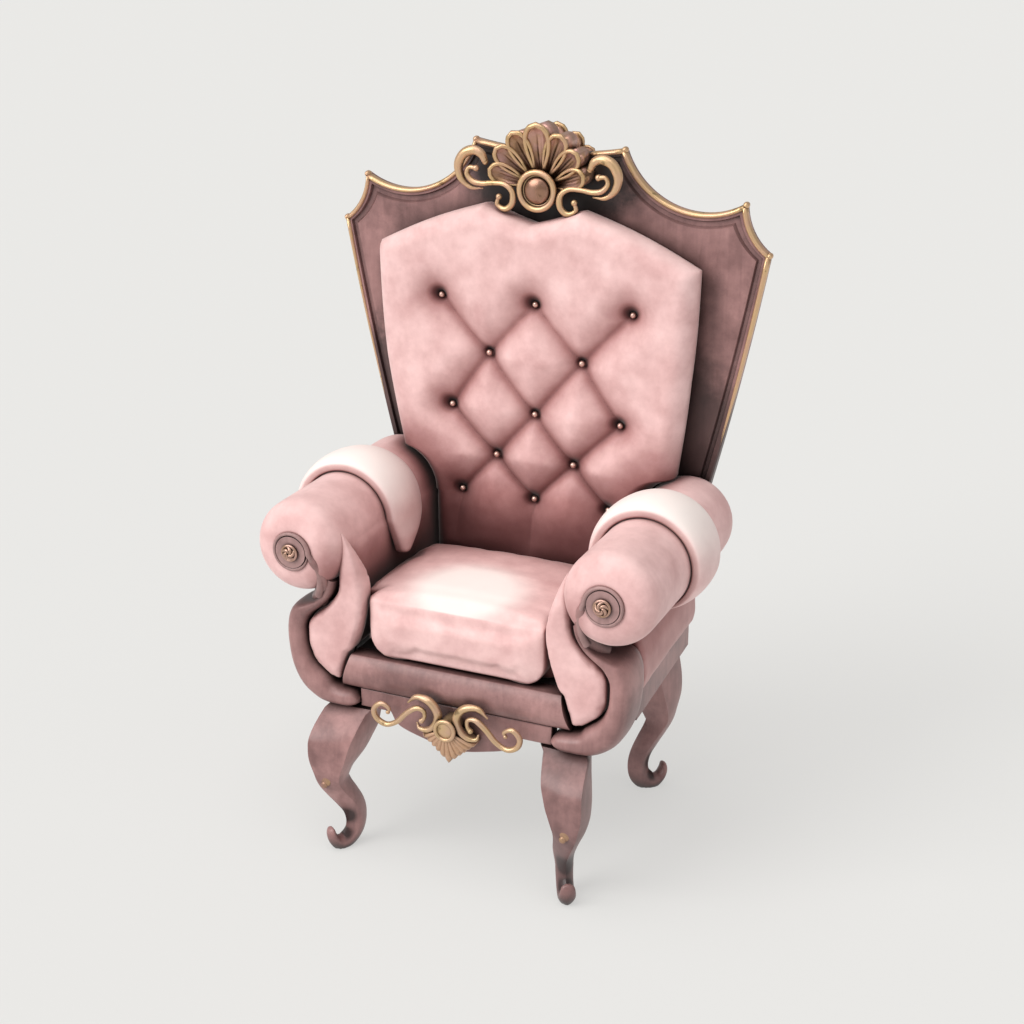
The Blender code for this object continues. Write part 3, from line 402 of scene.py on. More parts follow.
def shield_arcs(inset):
    """The four arcs of the right half of the shield, moved inwards by the inset, as lists of points."""
    ways = []
    for start, end, sag in zip(FRAME_CORNERS, FRAME_CORNERS[1:], FRAME_SAGS):
        chord = Vector((end[0] - start[0], end[1] - start[1]))
        swing = 2 * atan2(2 * sag, chord.length)
        turned = [chord.normalized().copy(), chord.normalized().copy()]
        turned[0].rotate(Matrix.Rotation(swing, 2))
        turned[1].rotate(Matrix.Rotation(-swing, 2))
        ways.append(turned)
    arriving = [Vector((1, 0))] + [way[1] for way in ways]
    leaving = [way[0] for way in ways] + [Vector((-1, 0))]
    arriving[0] = leaving[0] = Vector((1, 0))
    corners = []
    for (x, z), one, two in zip(FRAME_CORNERS, arriving, leaving):
        first, second = Vector((one.y, -one.x)), Vector((two.y, -two.x))
        corners.append(Vector((x, z)) + (first + second) * (inset / (1 + first.dot(second))))
    arcs = []
    for start, end, sag, steps, a, b in zip(
        corners, corners[1:], FRAME_SAGS, FRAME_STEPS, FRAME_CORNERS, FRAME_CORNERS[1:],
    ):
        length = hypot(b[0] - a[0], b[1] - a[1])
        radius = (length * length / 4 + sag * sag) / (2 * abs(sag)) + (inset if sag < 0 else -inset)
        half = (end - start).length / 2
        bulge = radius - sqrt(radius * radius - half * half)
        arcs.append(bowed(start, end, bulge if sag > 0 else -bulge, steps) + [tuple(end)])
    return arcs


def shield_outline(inset):
    """The whole outline of the shield, moved inwards by the inset."""
    half = [point for arc in shield_arcs(inset) for point in arc[:-1]]
    half += [shield_arcs(inset)[-1][-1], (0.0, FRAME_CORNERS[-1][1] + inset)]
    half[0] = (0.0, half[0][1])
    return half + [(-x, z) for x, z in reversed(half) if x > 1e-6]


low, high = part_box("back_frame")
bm = bmesh.new()
order = bm.verts.layers.int.new("order")
outline = shield_outline(0.0)
face = bm.faces.new([bm.verts.new((x, high.y, z)) for x, z in outline])
for i, vert in enumerate(face.verts):
    vert[order] = i
rear = face
for inset, depth in (
    (0.0, 0.004), (0.003, 0.0), (0.0125, 0.0), (0.0150, 0.007), (0.0225, 0.007), (0.0260, 0.001),
    (0.040, 0.0),
):
    outline = shield_outline(inset)
    last = face
    made = bmesh.ops.extrude_face_region(bm, geom=[last])["geom"]
    face = next(item for item in made if isinstance(item, bmesh.types.BMFace))
    if last is not rear:
        bmesh.ops.delete(bm, geom=[last], context="FACES_ONLY")
    for vert in face.verts:
        x, z = outline[vert[order]]
        vert.co = Vector((x, low.y + depth, z))
# Painted shadow: the shield is darkened behind the crest, where the crest shades it, and low on each side
# beside the pad and the arms.
shaded_wood = stained_wood("shaded_shield_wood", (0.425, 0.228, 0.216), (0.225, 0.112, 0.107), (
    ((0.0, 0.246, 1.405), (0.270, 0.30, 0.150), 1.0),
    ((0.350, 0.246, 0.720), (0.190, 0.30, 0.440), 0.75), ((-0.350, 0.246, 0.720), (0.190, 0.30, 0.440), 0.75),
))
shield = fitted(bm, "back_shield", shaded_wood, "stained_wood", "back_frame")
creased(shield, 35)


# Gilt edging of the back.
# A cast half-round strip on each side, pinned along the horns and the upper side of the shield.
# It thickens at the horn tips and fades out towards the arms.

def antique_gilt(name, light, dark, rose, roughness=0.30):
    """Worn gilding over brass: gold on the heights, patina deepened by painted shade in the hollows, rose
    patches between as painted pink glints.
    """
    material, tree, shader, place = new_finish(name)
    cloud = clouded(tree, place, 34.0, 5.0)
    worn_through = tuple(0.45 * a + 0.55 * b for a, b in zip(light, dark))
    # The rose stop is a painted reflection: pink glints scattered over the gold.
    tone = graded(tree, cloud, (0.30, worn_through), (0.36, light), (0.70, rose))
    # Darker in the hollows: patina together with painted shade.
    patina_and_shade = graded(tree, openness(tree, 0.024), (0.25, WHITE), (0.85, BLACK))
    filled(tree, shader, {
        "Base Color": mixed(tree, patina_and_shade, tone, (*dark, 1.0)), "Metallic": 0.72,
        "Roughness": ranged(tree, cloud, roughness - 0.06, roughness + 0.22),
        "Normal": relief(tree, clouded(tree, place, 260.0, 3.0), 0.20, 0.0008),
    })
    return material


gilt = antique_gilt("antique_gilt", (0.70, 0.475, 0.25), (0.045, 0.022, 0.012), (0.68, 0.42, 0.29))


def rod(bm, points, widths, sides=10, flat=1.0, lean=(0, -1, 0)):
    """Bends a tapered rod along the points; flat squeezes its section along the lean."""
    up = Vector(lean)
    count = len(points)

    def rod_place(i, angle):
        before, after = Vector(points[max(i - 1, 0)]), Vector(points[min(i + 1, count - 1)])
        along = (after - before).normalized()
        across = along.cross(up).normalized()
        out = across.cross(along).normalized()
        r = widths[i]
        return Vector(points[i]) + across * (r * cos(angle)) + out * (r * flat * sin(angle))

    drawn_out(bm, sides, list(range(count)), rod_place)


for side, word in ((-1, "left"), (1, "right")):
    low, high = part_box(f"back_trim_{word}")
    bm = bmesh.new()
    arcs = shield_arcs(0.0040)
    arcs[0] = arcs[0][4:]
    arcs[3] = arcs[3][:19]
    for number, arc in enumerate(arcs):
        points, widths = [], []
        for i, (x, z) in enumerate(arc):
            t = i / (len(arc) - 1)
            start = 1.0 if number in (1, 2, 3) else 0.25 + 3 * t
            finish = 1.0 if number in (0, 1, 2) else 0.10 + 2.2 * (1 - t)
            fade = 1.0 - 0.55 * t if number == 3 else 1.0
            points.append((side * x, high.y + 0.0072, z))
            widths.append(0.0062 * min(fade, start, finish))
        rod(bm, points, widths, 12, 1.9)
    for corner in (1, 2, 3):
        x, z = shield_arcs(0.0015)[corner][0]
        tip = bmesh.ops.create_uvsphere(bm, u_segments=14, v_segments=10, radius=0.0068)["verts"]
        bmesh.ops.scale(bm, verts=tip, vec=(1.0, 1.7, 1.0))
        bmesh.ops.translate(bm, verts=tip, vec=(side * x, high.y + 0.0072, z))
    fitted(bm, f"gilt_edging_{word}", gilt, "antique_gilt", f"back_trim_{word}")


# Outside back.
# A padded panel in the same velvet, tacked to the rear of the shield with a rounded edge.
# The velvet is a short dusty pink cotton pile, cloudy where it is brushed, with a painted highlight where it
# faces up.

def pile_velvet(name, pale, rose, top_light=0.0, highlight_spot=None, begins=0.45):
    """Dusty pink pile: cloudy nap, a pale painted highlight on upward faces, a soft sheen, and painted maroon
    shade in corners and folds.
    """
    material, tree, shader, place = new_finish(name)
    cloud = clouded(tree, place, 13.0, 7.0, 0.62)
    tone = graded(tree, cloud, (0.34, rose), (0.66, pale))
    # Painted highlight: faces turned up are made paler, as if lit from above; a highlight spot limits it to a
    # pool.
    facing = tree.nodes.new("ShaderNodeNewGeometry").outputs["Normal"]
    upward = added(tree, "ShaderNodeSeparateXYZ", {"Vector": facing}).outputs["Z"]
    painted_top_light = eased_in(tree, upward, begins, 0.97, top_light)
    if highlight_spot:
        centre, size = highlight_spot
        ball = soft_spot(tree, place, centre, size, "QUADRATIC_SPHERE")
        painted_top_light = worked_out(tree, "MULTIPLY", painted_top_light, eased_in(tree, ball, 0.0, 0.34, 1.0))
    colour = mixed(tree, painted_top_light, tone, (0.93, 0.86, 0.82, 1.0))
    # Painted shade: darkened in tight corners and, more gently, deep inside the seat and back.
    for reach, low, middle, high in (
        (0.045, (0.10, 0.030, 0.028), (0.56, 0.42, 0.41), 0.84),
        (0.34, (0.34, 0.21, 0.21), (0.66, 0.57, 0.57), 0.80),
    ):
        shade = graded(tree, openness(tree, reach), (0.08, low), (0.42, middle), (high, WHITE))
        colour = mixed(tree, 1.0, colour, shade, "MULTIPLY")
    # Painted maroon shade where the piece's painted fold shade is high.
    painted_shade = graded(
        tree, painted_fold_shade(tree),
        (0.0, WHITE), (0.35, (0.58, 0.44, 0.435)), (0.70, (0.20, 0.10, 0.10)), (1.0, (0.020, 0.006, 0.006)),
    )
    filled(tree, shader, {
        "Base Color": mixed(tree, 1.0, colour, painted_shade, "MULTIPLY"), "Roughness": ranged(tree, cloud, 0.50, 0.80),
        "Sheen Weight": 0.40, "Sheen Roughness": 0.42, "Sheen Tint": (1.0, 0.86, 0.84, 1.0),
        "Specular IOR Level": 0.30, "Normal": relief(tree, clouded(tree, place, 620.0, 2.0), 0.22, 0.0007),
    })
    return material


pink_velvet = pile_velvet("dusty_pink_velvet", (0.83, 0.545, 0.53), (0.63, 0.365, 0.355), 0.15)


def settled(piece):
    """Turns the modifiers of a piece into its mesh."""
    graph = bpy.context.evaluated_depsgraph_get()
    made = bpy.data.meshes.new_from_object(piece.evaluated_get(graph))
    piece.modifiers.clear()
    old = piece.data
    piece.data = made
    bpy.data.meshes.remove(old)


def stuffed(piece, voxel, pressure, travel, rounds):
    """Evens the cover of a padded shape, swells it with pressure by no more than the travel, and softens it."""
    even = piece.modifiers.new("even", "REMESH")
    even.mode = "VOXEL"
    even.voxel_size = voxel
    settled(piece)
    flat = [vert.co.copy() for vert in piece.data.vertices]
    if pressure:
        cover = piece.modifiers.new("cover", "CLOTH")
        cover.settings.quality = 4
        cover.settings.mass = 0.25
        cover.settings.tension_stiffness = 12.0
        cover.settings.compression_stiffness = 12.0
        cover.settings.bending_stiffness = 0.4
        cover.settings.use_pressure = True
        cover.settings.uniform_pressure_force = pressure
        cover.settings.effector_weights.gravity = 0.0
        cover.collision_settings.use_collision = False
        cover.point_cache.frame_start = 1
        cover.point_cache.frame_end = 20
        for step in range(1, 21):
            bpy.context.scene.frame_set(step)
        settled(piece)
        bpy.context.scene.frame_set(1)
        for vert, start in zip(piece.data.vertices, flat):
            way = vert.co - start
            if way.length > travel:
                vert.co = start + way * (travel / way.length)
    bm = bmesh.new()
    bm.from_mesh(piece.data)
    for _ in range(rounds):
        bmesh.ops.smooth_vert(
            bm, verts=bm.verts, factor=0.5, use_axis_x=True, use_axis_y=True, use_axis_z=True,
        )
    bm.to_mesh(piece.data)
    bm.free()
    finer = piece.modifiers.new("finer", "SUBSURF")
    finer.levels = finer.render_levels = 1
    settled(piece)
    piece.data.polygons.foreach_set("use_smooth", [True] * len(piece.data.polygons))


low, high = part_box("outside_back")
panel_half = [(0.0, 1.371), (0.19, 1.371), (0.402, 1.301)] + bowed((0.456, 1.247), (0.243, 0.447), 0.012, 16)
panel_half += [(0.243, 0.447), (0.0, 0.447)]
bm = bmesh.new()
outline = panel_half + [(-x, z) for x, z in reversed(panel_half) if x > 1e-6]
board(bm, outline, low.y + 0.001, high.y - 0.004)
outside = fitted(bm, "outside_back_panel", pink_velvet, "pink_velvet", "outside_back")
stuffed(outside, 0.009, 2.0, 0.004, 10)


# Buttoned back pad.
# Deep diamond buttoning over horsehair: thirteen studs pull the velvet down, and the spare cloth
# between them is folded into pleats, so that soft full diamonds stand between the folds.

low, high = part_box("back_pad")
PAD_REAR = high.y
PAD_FRONT = 0.1535
SEAT_LEVEL = 0.4616
studs = []
for number in range(1, 14):
    a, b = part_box(f"back_button_{number}")
    studs.append(((a.x + b.x) / 2, (a.z + b.z) / 2, b.y))
PLEATS = (
    (1, 4), (2, 4), (2, 5), (3, 5), (4, 6), (4, 7), (5, 7), (5, 8),
    (6, 9), (7, 9), (7, 10), (8, 10), (9, 11), (9, 12), (10, 12), (10, 13),
)
folds = [(studs[a - 1][:2], studs[b - 1][:2], 1.0) for a, b in PLEATS]
for number, (dx, dz) in ((11, (-0.01, -0.12)), (12, (0.0, -0.13)), (13, (0.01, -0.12))):
    x, z, _ = studs[number - 1]
    folds.append(((x, z), (x + dx, z + dz), 0.8))
for number, (dx, dz) in ((1, (-0.05, 0.008)), (3, (0.05, 0.008)), (6, (-0.06, 0.02)), (8, (0.06, 0.02))):
    x, z, _ = studs[number - 1]
    folds.append(((x, z), (x + dx, z + dz), 0.4))


def pad_half_width(z):
    """Half width of the pad, which stands between the arm rolls and walls below 0.8 m."""
    t = min(max((z - 0.800) / 0.447, 0.0), 1.0)
    full = 0.3215 + 0.0465 * t + 0.012 * sin(pi * t)
    if z < 0.695:
        return 0.2390
    if z < 0.797:
        return min(full, 0.345 - sqrt(max(0.102 ** 2 - (z - 0.695) ** 2, 0.0)) - 0.0006)
    return full


def pad_top(x):
    """Height of the top edge: a dip under the crest, a peak each side and long slopes to the corners."""
    across = abs(x + 0.009)
    if across < 0.110:
        return 1.316 + 0.035 * (across / 0.110) ** 1.2
    t = (across - 0.110) / 0.257
    return 1.351 - 0.104 * t + 0.008 * sin(pi * min(t, 1.0))


def tufting(x, z):
    """How far the studs and pleats pull the cover in at a place, and how much painted shade falls in the pits
    and folds there.
    """
    pleat = painted_dark = 0.0
    for (ax, az), (bx, bz), strength in folds:
        length = hypot(bx - ax, bz - az)
        t = ((x - ax) * (bx - ax) + (z - az) * (bz - az)) / (length * length)
        t = min(max(t, 0.0), 1.0)
        away = hypot(x - ax - (bx - ax) * t, z - az - (bz - az) * t)
        if away > 0.080:
            continue
        taper = strength if strength == 1.0 else strength * (1.0 - t ** 1.5)
        ends = abs(2 * t - 1) ** 2 if strength == 1.0 else 1.0 - t
        valley = (0.0310 + 0.0060 * ends) * (1 - away / 0.080) ** 2.0
        pleat += (taper * valley) ** 4
        low = min(max((1.10 - z) / 0.35, 0.0), 1.0)
        shadow = (0.32 + 0.24 * ends + 0.18 * low) * (1 - away / 0.080) ** 3.5
        painted_dark = max(painted_dark, taper * (shadow + 0.08 * exp(-away / 0.0050)))
    pit = 0.0
    for number, (bx, bz, _) in enumerate(studs, 1):
        away = hypot(x - bx, z - bz)
        if away < 0.075:
            pit += (0.0370 * (1 - away / 0.075) ** 2.2) ** 4
        # Painted shade: a dark pit round each stud, wider at the open ones.
        if away < 0.095:
            open_pit = number in (1, 2, 3, 6, 8, 11, 12, 13)
            away = hypot(x - bx + 0.004, z - bz - 0.004)
            painted_dark = max(painted_dark, exp(-(away / (0.0235 if open_pit else 0.0130)) ** 2.0))
            painted_dark = max(painted_dark, 0.50 * max(1 - away / (0.082 if open_pit else 0.060), 0.0) ** 1.5)
    return (pleat + pit) ** 0.25, painted_dark


COLUMNS, ROWS = 190, 250
bm = bmesh.new()
bmesh.ops.create_grid(bm, x_segments=COLUMNS, y_segments=ROWS, size=1.0)
pad_shade_layer = bm.verts.layers.float.new("painted_fold_shade")
for vert in bm.verts:
    u, v = vert.co.x, (vert.co.y + 1) / 2
    level = SEAT_LEVEL + (1.247 - SEAT_LEVEL) * v
    half = pad_half_width(level)
    if level > 0.80:
        half += min((level - 0.80) / 0.20, 1.0) * (-0.010 if u > 0 else 0.006)
    bend = 1 - (1 - abs(u)) ** 1.15
    x = half * (bend if u > 0 else -bend)
    lift = min(max((v - 0.62) / 0.38, 0.0), 1.0)
    z = level + max(pad_top(x) - 1.247, 0.0) * lift * lift * (3 - 2 * lift)
    side_in = half - abs(x)
    top_in = (1 - v) * 0.80
    rim = 0.0
    for inside, radius in ((side_in, 0.040), (top_in, 0.040)):
        if inside < radius:
            rim += (1 - sqrt(max(1 - (1 - inside / radius) ** 2, 0.0))) ** 2
    rim = min(sqrt(rim), 1.0)
    crown = 0.010 * (1 - (x / 0.36) ** 2) * (1 - ((z - 0.95) / 0.48) ** 2)
    soft = min(1.0, side_in / 0.05, top_in / 0.05) if min(side_in, top_in) > 0 else 0.0
    depth, painted_shade = tufting(x, z)
    # Painted shade: the pad is also darkened towards the bottom, near the seat, starting higher at the sides.
    shaded = 0.820 + 0.085 * min(max((abs(x) - 0.15) / 0.10, 0.0), 1.0)
    vert[pad_shade_layer] = max(painted_shade * soft, 0.62 * min(max((shaded - z) / 0.19, 0.0), 1.0))
    y = PAD_FRONT - crown + 0.042 * rim + depth * (0.2 + 0.8 * soft)
    vert.co = Vector((x, min(y, PAD_REAR - 0.012), z))
edges = [edge for edge in bm.edges if edge.is_boundary]
for y, tuck in ((PAD_REAR - 0.024, 0.004), (PAD_REAR, 0.014)):
    made = bmesh.ops.extrude_edge_only(bm, edges=edges)["geom"]
    for vert in verts_of(made):
        vert.co.y = max(y, vert.co.y)
        vert.co.x *= 1 - tuck / 0.36
        vert.co.z -= tuck * min(max((vert.co.z - 1.15) / 0.1, 0.0), 1.0)
    edges = open_edges_of(made)
bmesh.ops.holes_fill(bm, edges=edges)
# Painted light: a lighter copy of the velvet, brighter because the upright pad gets less light.
pad_velvet = pile_velvet("pad_velvet", (0.88, 0.60, 0.585), (0.67, 0.40, 0.39), 0.15)
pad = fitted(bm, "buttoned_back", pad_velvet, "pink_velvet", "back_pad")


# Studs.
# Thirteen small domed studs of rose gilt hold the tufts down.
# Each has a flat collar and a high polished dome.

rose_gilt = antique_gilt("rose_gilt_studs", (0.80, 0.55, 0.46), (0.12, 0.05, 0.04), (0.72, 0.44, 0.38), 0.22)
for number, (x, z, back) in enumerate(studs, 1):
    bm = bmesh.new()
    bmesh.ops.create_uvsphere(bm, u_segments=20, v_segments=12, radius=0.0068)
    bmesh.ops.bisect_plane(
        bm, geom=bm.verts[:] + bm.edges[:] + bm.faces[:], plane_co=(0, 0.003, 0), plane_no=(0, 1, 0),
        clear_outer=True,
    )
    bmesh.ops.holes_fill(bm, edges=[edge for edge in bm.edges if edge.is_boundary])
    bmesh.ops.translate(bm, verts=bm.verts, vec=(x, back - 0.0035, z))
    fitted(bm, f"tuft_stud_{number}", rose_gilt, "rose_studs", f"back_button_{number}")


# Scroll posts.
# Each arm ends in a carved post like an S: it springs from the rail, swells out round the facing,
# passes in under the roll and winds up into a volute on the roll's face.

ROLL_X, ROLL_Z, ROLL_RADIUS = 0.345, 0.695, 0.100
POST_BOTTOM = 0.336
OUTER_EDGE = (
    (-0.054, 0.860), (-0.054, 0.810), (-0.045, 0.735), (-0.030, 0.676), (-0.001, 0.640), (0.028, 0.608),
    (0.040, 0.555), (0.045, 0.470), (0.044, 0.360), (0.035, 0.215), (0.013, 0.090), (-0.020, 0.020),
    (-0.050, 0.0),
)
FACING_OUTER = (
    (-0.096, 1.120), (-0.086, 0.950), (-0.080, 0.800), (-0.072, 0.728), (-0.048, 0.641), (-0.020, 0.570),
    (-0.005, 0.507), (-0.003, 0.436), (-0.006, 0.345), (-0.021, 0.258), (-0.054, 0.184),
)
FACING_INNER = (
    (-0.109, 0.361), (-0.118, 0.400), (-0.132, 0.520), (-0.140, 0.650), (-0.141, 0.740), (-0.134, 0.850),
    (-0.117, 1.000), (-0.103, 1.090),
)
FACING_TIP = ((-0.076, 0.166), (-0.093, 0.262), (-0.104, 0.355))


def on_post(points):
    """Places on a post from the way out from the roll's line and the share of the height."""
    return [(ROLL_X + dx, POST_BOTTOM + (ROLL_Z - POST_BOTTOM) * share) for dx, share in points]


def paced(points, count):
    """The given number of points, evenly spaced along a line of points."""
    gone = [0.0]
    for (ax, az), (bx, bz) in zip(points, points[1:]):
        gone.append(gone[-1] + hypot(bx - ax, bz - az))
    found, i = [], 0
    for step in range(count):
        want = gone[-1] * step / (count - 1)
        while i < len(points) - 2 and gone[i + 1] < want:
            i += 1
        t = (want - gone[i]) / max(gone[i + 1] - gone[i], 1e-9)
        found.append(tuple(a + (b - a) * t for a, b in zip(points[i], points[i + 1])))
    return found


volute_wood = stained_wood("rubbed_volute_wood", (0.46, 0.275, 0.262), (0.26, 0.150, 0.143))
STATIONS = 56
band_inner = paced(
    through(on_post(FACING_OUTER[2:]) + [(0.2800, 0.388), (0.2520, 0.3815), (0.2225, 0.3800)], 5), STATIONS,
)
band_outer = paced(through(on_post(OUTER_EDGE) + [(0.2600, 0.3362), (0.2225, 0.3362)], 5), STATIONS)
for side, word in ((-1, "left"), (1, "right")):
    bm = bmesh.new()

    def band_place(i, angle):
        (ax, az), (bx, bz) = band_inner[i], band_outer[i]
        c, s = cos(angle), sin(angle)
        size = (abs(c) ** 2.9 + abs(s) ** 2.9) ** (-1 / 2.9)
        end = min(1.0, sqrt(max(1 - ((i - (STATIONS - 5)) / 4.4) ** 2, 0.02))) if i > STATIONS - 5 else 1.0
        reach = size * c * end
        return Vector((
            side * ((ax + bx) / 2 + (bx - ax) / 2 * reach), -0.2035 + 0.059 * size * s * (0.7 + 0.3 * end),
            (az + bz) / 2 + (bz - az) / 2 * reach,
        ))

    drawn_out(bm, 40, list(range(STATIONS)), band_place)
    backing = [(0.2470, 0.338), (0.2470, 0.615), (0.287, 0.606)] + through(on_post([
        (dx - 0.010, share - 0.012 if share > 0.5 else share + 0.012) for dx, share in OUTER_EDGE[4:]
    ]), 4)
    board(bm, backing, -0.2022, -0.1446, side)
    neck = through(on_post((
        (-0.027, 0.640), (-0.0415, 0.705), (-0.0510, 0.775), (-0.0545, 0.855), (-0.0510, 0.925),
        (-0.0430, 0.985),
    )), 5)
    points = [
        (side * x, -0.2200 - 0.0660 * min(1.0, i / (len(neck) - 4)) ** 0.8, z) for i, (x, z) in enumerate(neck)
    ]
    rod(bm, points, [0.0235 - 0.0160 * (i / (len(neck) - 1)) ** 0.8 for i in range(len(neck))], 16, 0.75)
    post = fitted(bm, f"scroll_post_{word}", mauve_wood, "stained_wood", f"arm_post_{word}")
    creased(post, 60)

    curl = []
    for step in range(1, 44):
        t = step / 43
        angle = radians(188 - 372 * t)
        radius = 0.0400 - 0.0020 * t
        curl.append((ROLL_X + radius * cos(angle), ROLL_Z + radius * sin(angle)))
    way = neck[6:] + curl
    points, widths = [], []
    for i, (x, z) in enumerate(way):
        t = i / (len(way) - 1)
        rise = min(1.0, (i + 6) / len(neck))
        points.append((side * x, -0.2510 - 0.0395 * rise ** 1.15, z))
        widths.append((0.0090 - 0.0050 * min(1.0, t * 2.0)) * min(1.0, 6 * (1 - t) + 0.2))
    bm = bmesh.new()
    rod(bm, points, widths, 12, 1.2)
    ring = bmesh.ops.create_cone(
        bm, cap_ends=True, segments=48, radius1=0.0345, radius2=0.0345, depth=0.020,
    )["verts"]
    bmesh.ops.rotate(bm, verts=ring, cent=(0, 0, 0), matrix=Matrix.Rotation(pi / 2, 3, "X"))
    bmesh.ops.translate(bm, verts=ring, vec=(side * ROLL_X, -0.2845, ROLL_Z))
    volute = fitted(bm, f"volute_{word}", volute_wood, "stained_wood", f"arm_post_{word}")
    creased(volute, 50)


# Rosettes.
# A small cast gilt knot in the eye of each volute: a domed ring with a twisted bud in it.
# It is pinned through the post.

tarnished = antique_gilt(
    "tarnished_rosette", (0.40, 0.25, 0.155), (0.022, 0.011, 0.009), (0.62, 0.38, 0.33), 0.26,
)
for side, word in ((-1, "left"), (1, "right")):
    centre = Vector((side * ROLL_X, -0.2985, ROLL_Z))
    bm = bmesh.new()
    section = bmesh.ops.create_circle(bm, segments=10, radius=0.0032)["verts"]
    bmesh.ops.translate(bm, verts=section, vec=(0.0160, 0, 0))
    bmesh.ops.spin(
        bm, geom=bm.edges[:], cent=(0, 0, 0), axis=(0, 1, 0), angle=2 * pi, steps=36, use_merge=True,
    )
    bmesh.ops.translate(bm, verts=bm.verts, vec=centre)
    for bud in range(5):
        turn = 2 * pi * bud / 5
        points, widths = [], []
        for step in range(9):
            t = step / 8
            angle = turn + 2.0 * t
            reach = 0.0125 * (1 - t) + 0.002
            points.append(centre + Vector((side * reach * cos(angle), -0.006 * t - 0.001, reach * sin(angle))))
            widths.append(0.0040 * sin(pi * (0.15 + 0.75 * t)))
        rod(bm, points, widths, 8)
    fitted(bm, f"volute_rosette_{word}", tarnished, "antique_gilt", f"arm_rosette_{word}")


# Arms.
# A long roll of velvet over horsehair on each side, with a rounded front that holds the volute,
# and a padded inner wall that runs down from the roll to the seat.

arm_velvet = pile_velvet("arm_velvet", (0.86, 0.565, 0.55), (0.66, 0.385, 0.375), 0.10)


def turned_solid(bm, x, z, profile, sides=48):
    """A solid turned about a line along Y, from pairs of y and radius."""
    drawn_out(
        bm, sides, profile,
        lambda station, angle: Vector((x + station[1] * cos(angle), station[0], z + station[1] * sin(angle))),
    )


def shade_painted_by(piece, rule):
    """Gives each point of a cover its share of painted shade, from 0 to 1, by a rule on its place."""
    painted_shade = piece.data.attributes.new("painted_fold_shade", "FLOAT", "POINT")
    for vert, share in zip(piece.data.vertices, painted_shade.data):
        share.value = min(max(rule(vert.co), 0.0), 1.0)


def arm_shade(place):
    """Painted shade: the lower inner wall under the roll is darkened, and the roll is darkened most where it
    meets the back.
    """
    wall = min(max((0.318 - abs(place.x)) / 0.045, 0.0), 1.0) * min(max((0.725 - place.z) / 0.13, 0.0), 1.0)
    rear = min(max((0.352 - abs(place.x)) / 0.05, 0.0), 1.0) * min(max((place.y - 0.095) / 0.07, 0.0), 1.0)
    return max(0.66 * wall, 0.74 * rear)


for side, word in ((-1, "left"), (1, "right")):
    bm = bmesh.new()
    profile = [(-0.2885, 0.048)]
    for i in range(1, 9):
        angle = pi / 2 * i / 8
        profile.append((-0.2885 + 0.050 * (1 - cos(angle)), 0.048 + 0.0515 * sin(angle)))
    profile += [(-0.19, 0.0995), (-0.10, 0.0990), (0.0, 0.0995), (0.12, 0.0995), (0.205, 0.0990)]
    profile += [(0.232, 0.0965), (0.2420, 0.0900)]
    turned_solid(bm, side * ROLL_X, ROLL_Z, profile)
    x0, x1 = sorted((side * 0.2412, side * 0.334))
    wall = bmesh.ops.create_cube(bm, size=1.0)["verts"]
    bmesh.ops.scale(bm, verts=wall, vec=(x1 - x0, 0.4460, 0.232))
    bmesh.ops.translate(bm, verts=wall, vec=((x0 + x1) / 2, 0.0205, 0.5785))
    arm = fitted(bm, f"arm_roll_{word}", arm_velvet, "pink_velvet", f"arm_{word}")
    stuffed(arm, 0.006, 0.0, 0.0, 3)
    shade_painted_by(arm, arm_shade)


# Sleeves.
# A second, thicker band of padding is drawn over each roll like a cuff, with a turned-in front lip.
# It starts at the seat on the inside and ends in a point under the roll on the outside.

# Painted highlight: the cuffs are made pale nearly all over, palest on top.
cuff_velvet = pile_velvet("top_lit_cuff_velvet", (0.90, 0.64, 0.62), (0.74, 0.47, 0.46), 0.95, begins=-0.30)
CUFF_STEPS = 30
CUFF_FRONT = -0.0625
CUFF_LENGTH, CUFF_LIP, CUFF_CROWN = 0.160, 0.0165, 0.0185
CUFF_RADIUS = 0.0985


def numbered(angle, count):
    """The number, of so many round a ring, that stands at an angle."""
    return round(angle / (2 * pi) * count) % count


def cuff_section(i):
    """Way back and rise of the cuff's section, from its front lip over the crown and back underneath."""
    if i < 4:
        return 0.0, CUFF_LIP * i / 3
    if i < CUFF_STEPS - 2:
        s = (i - 3) / (CUFF_STEPS - 6)
        rise = CUFF_LIP + CUFF_CROWN * sin(pi * min(s * 1.15, 1.0)) - 0.0120 * s ** 3
        return CUFF_LENGTH * (1 - cos(pi * s)) / 2, rise
    return 0.120 - 0.060 * (i - CUFF_STEPS + 2), 0.0


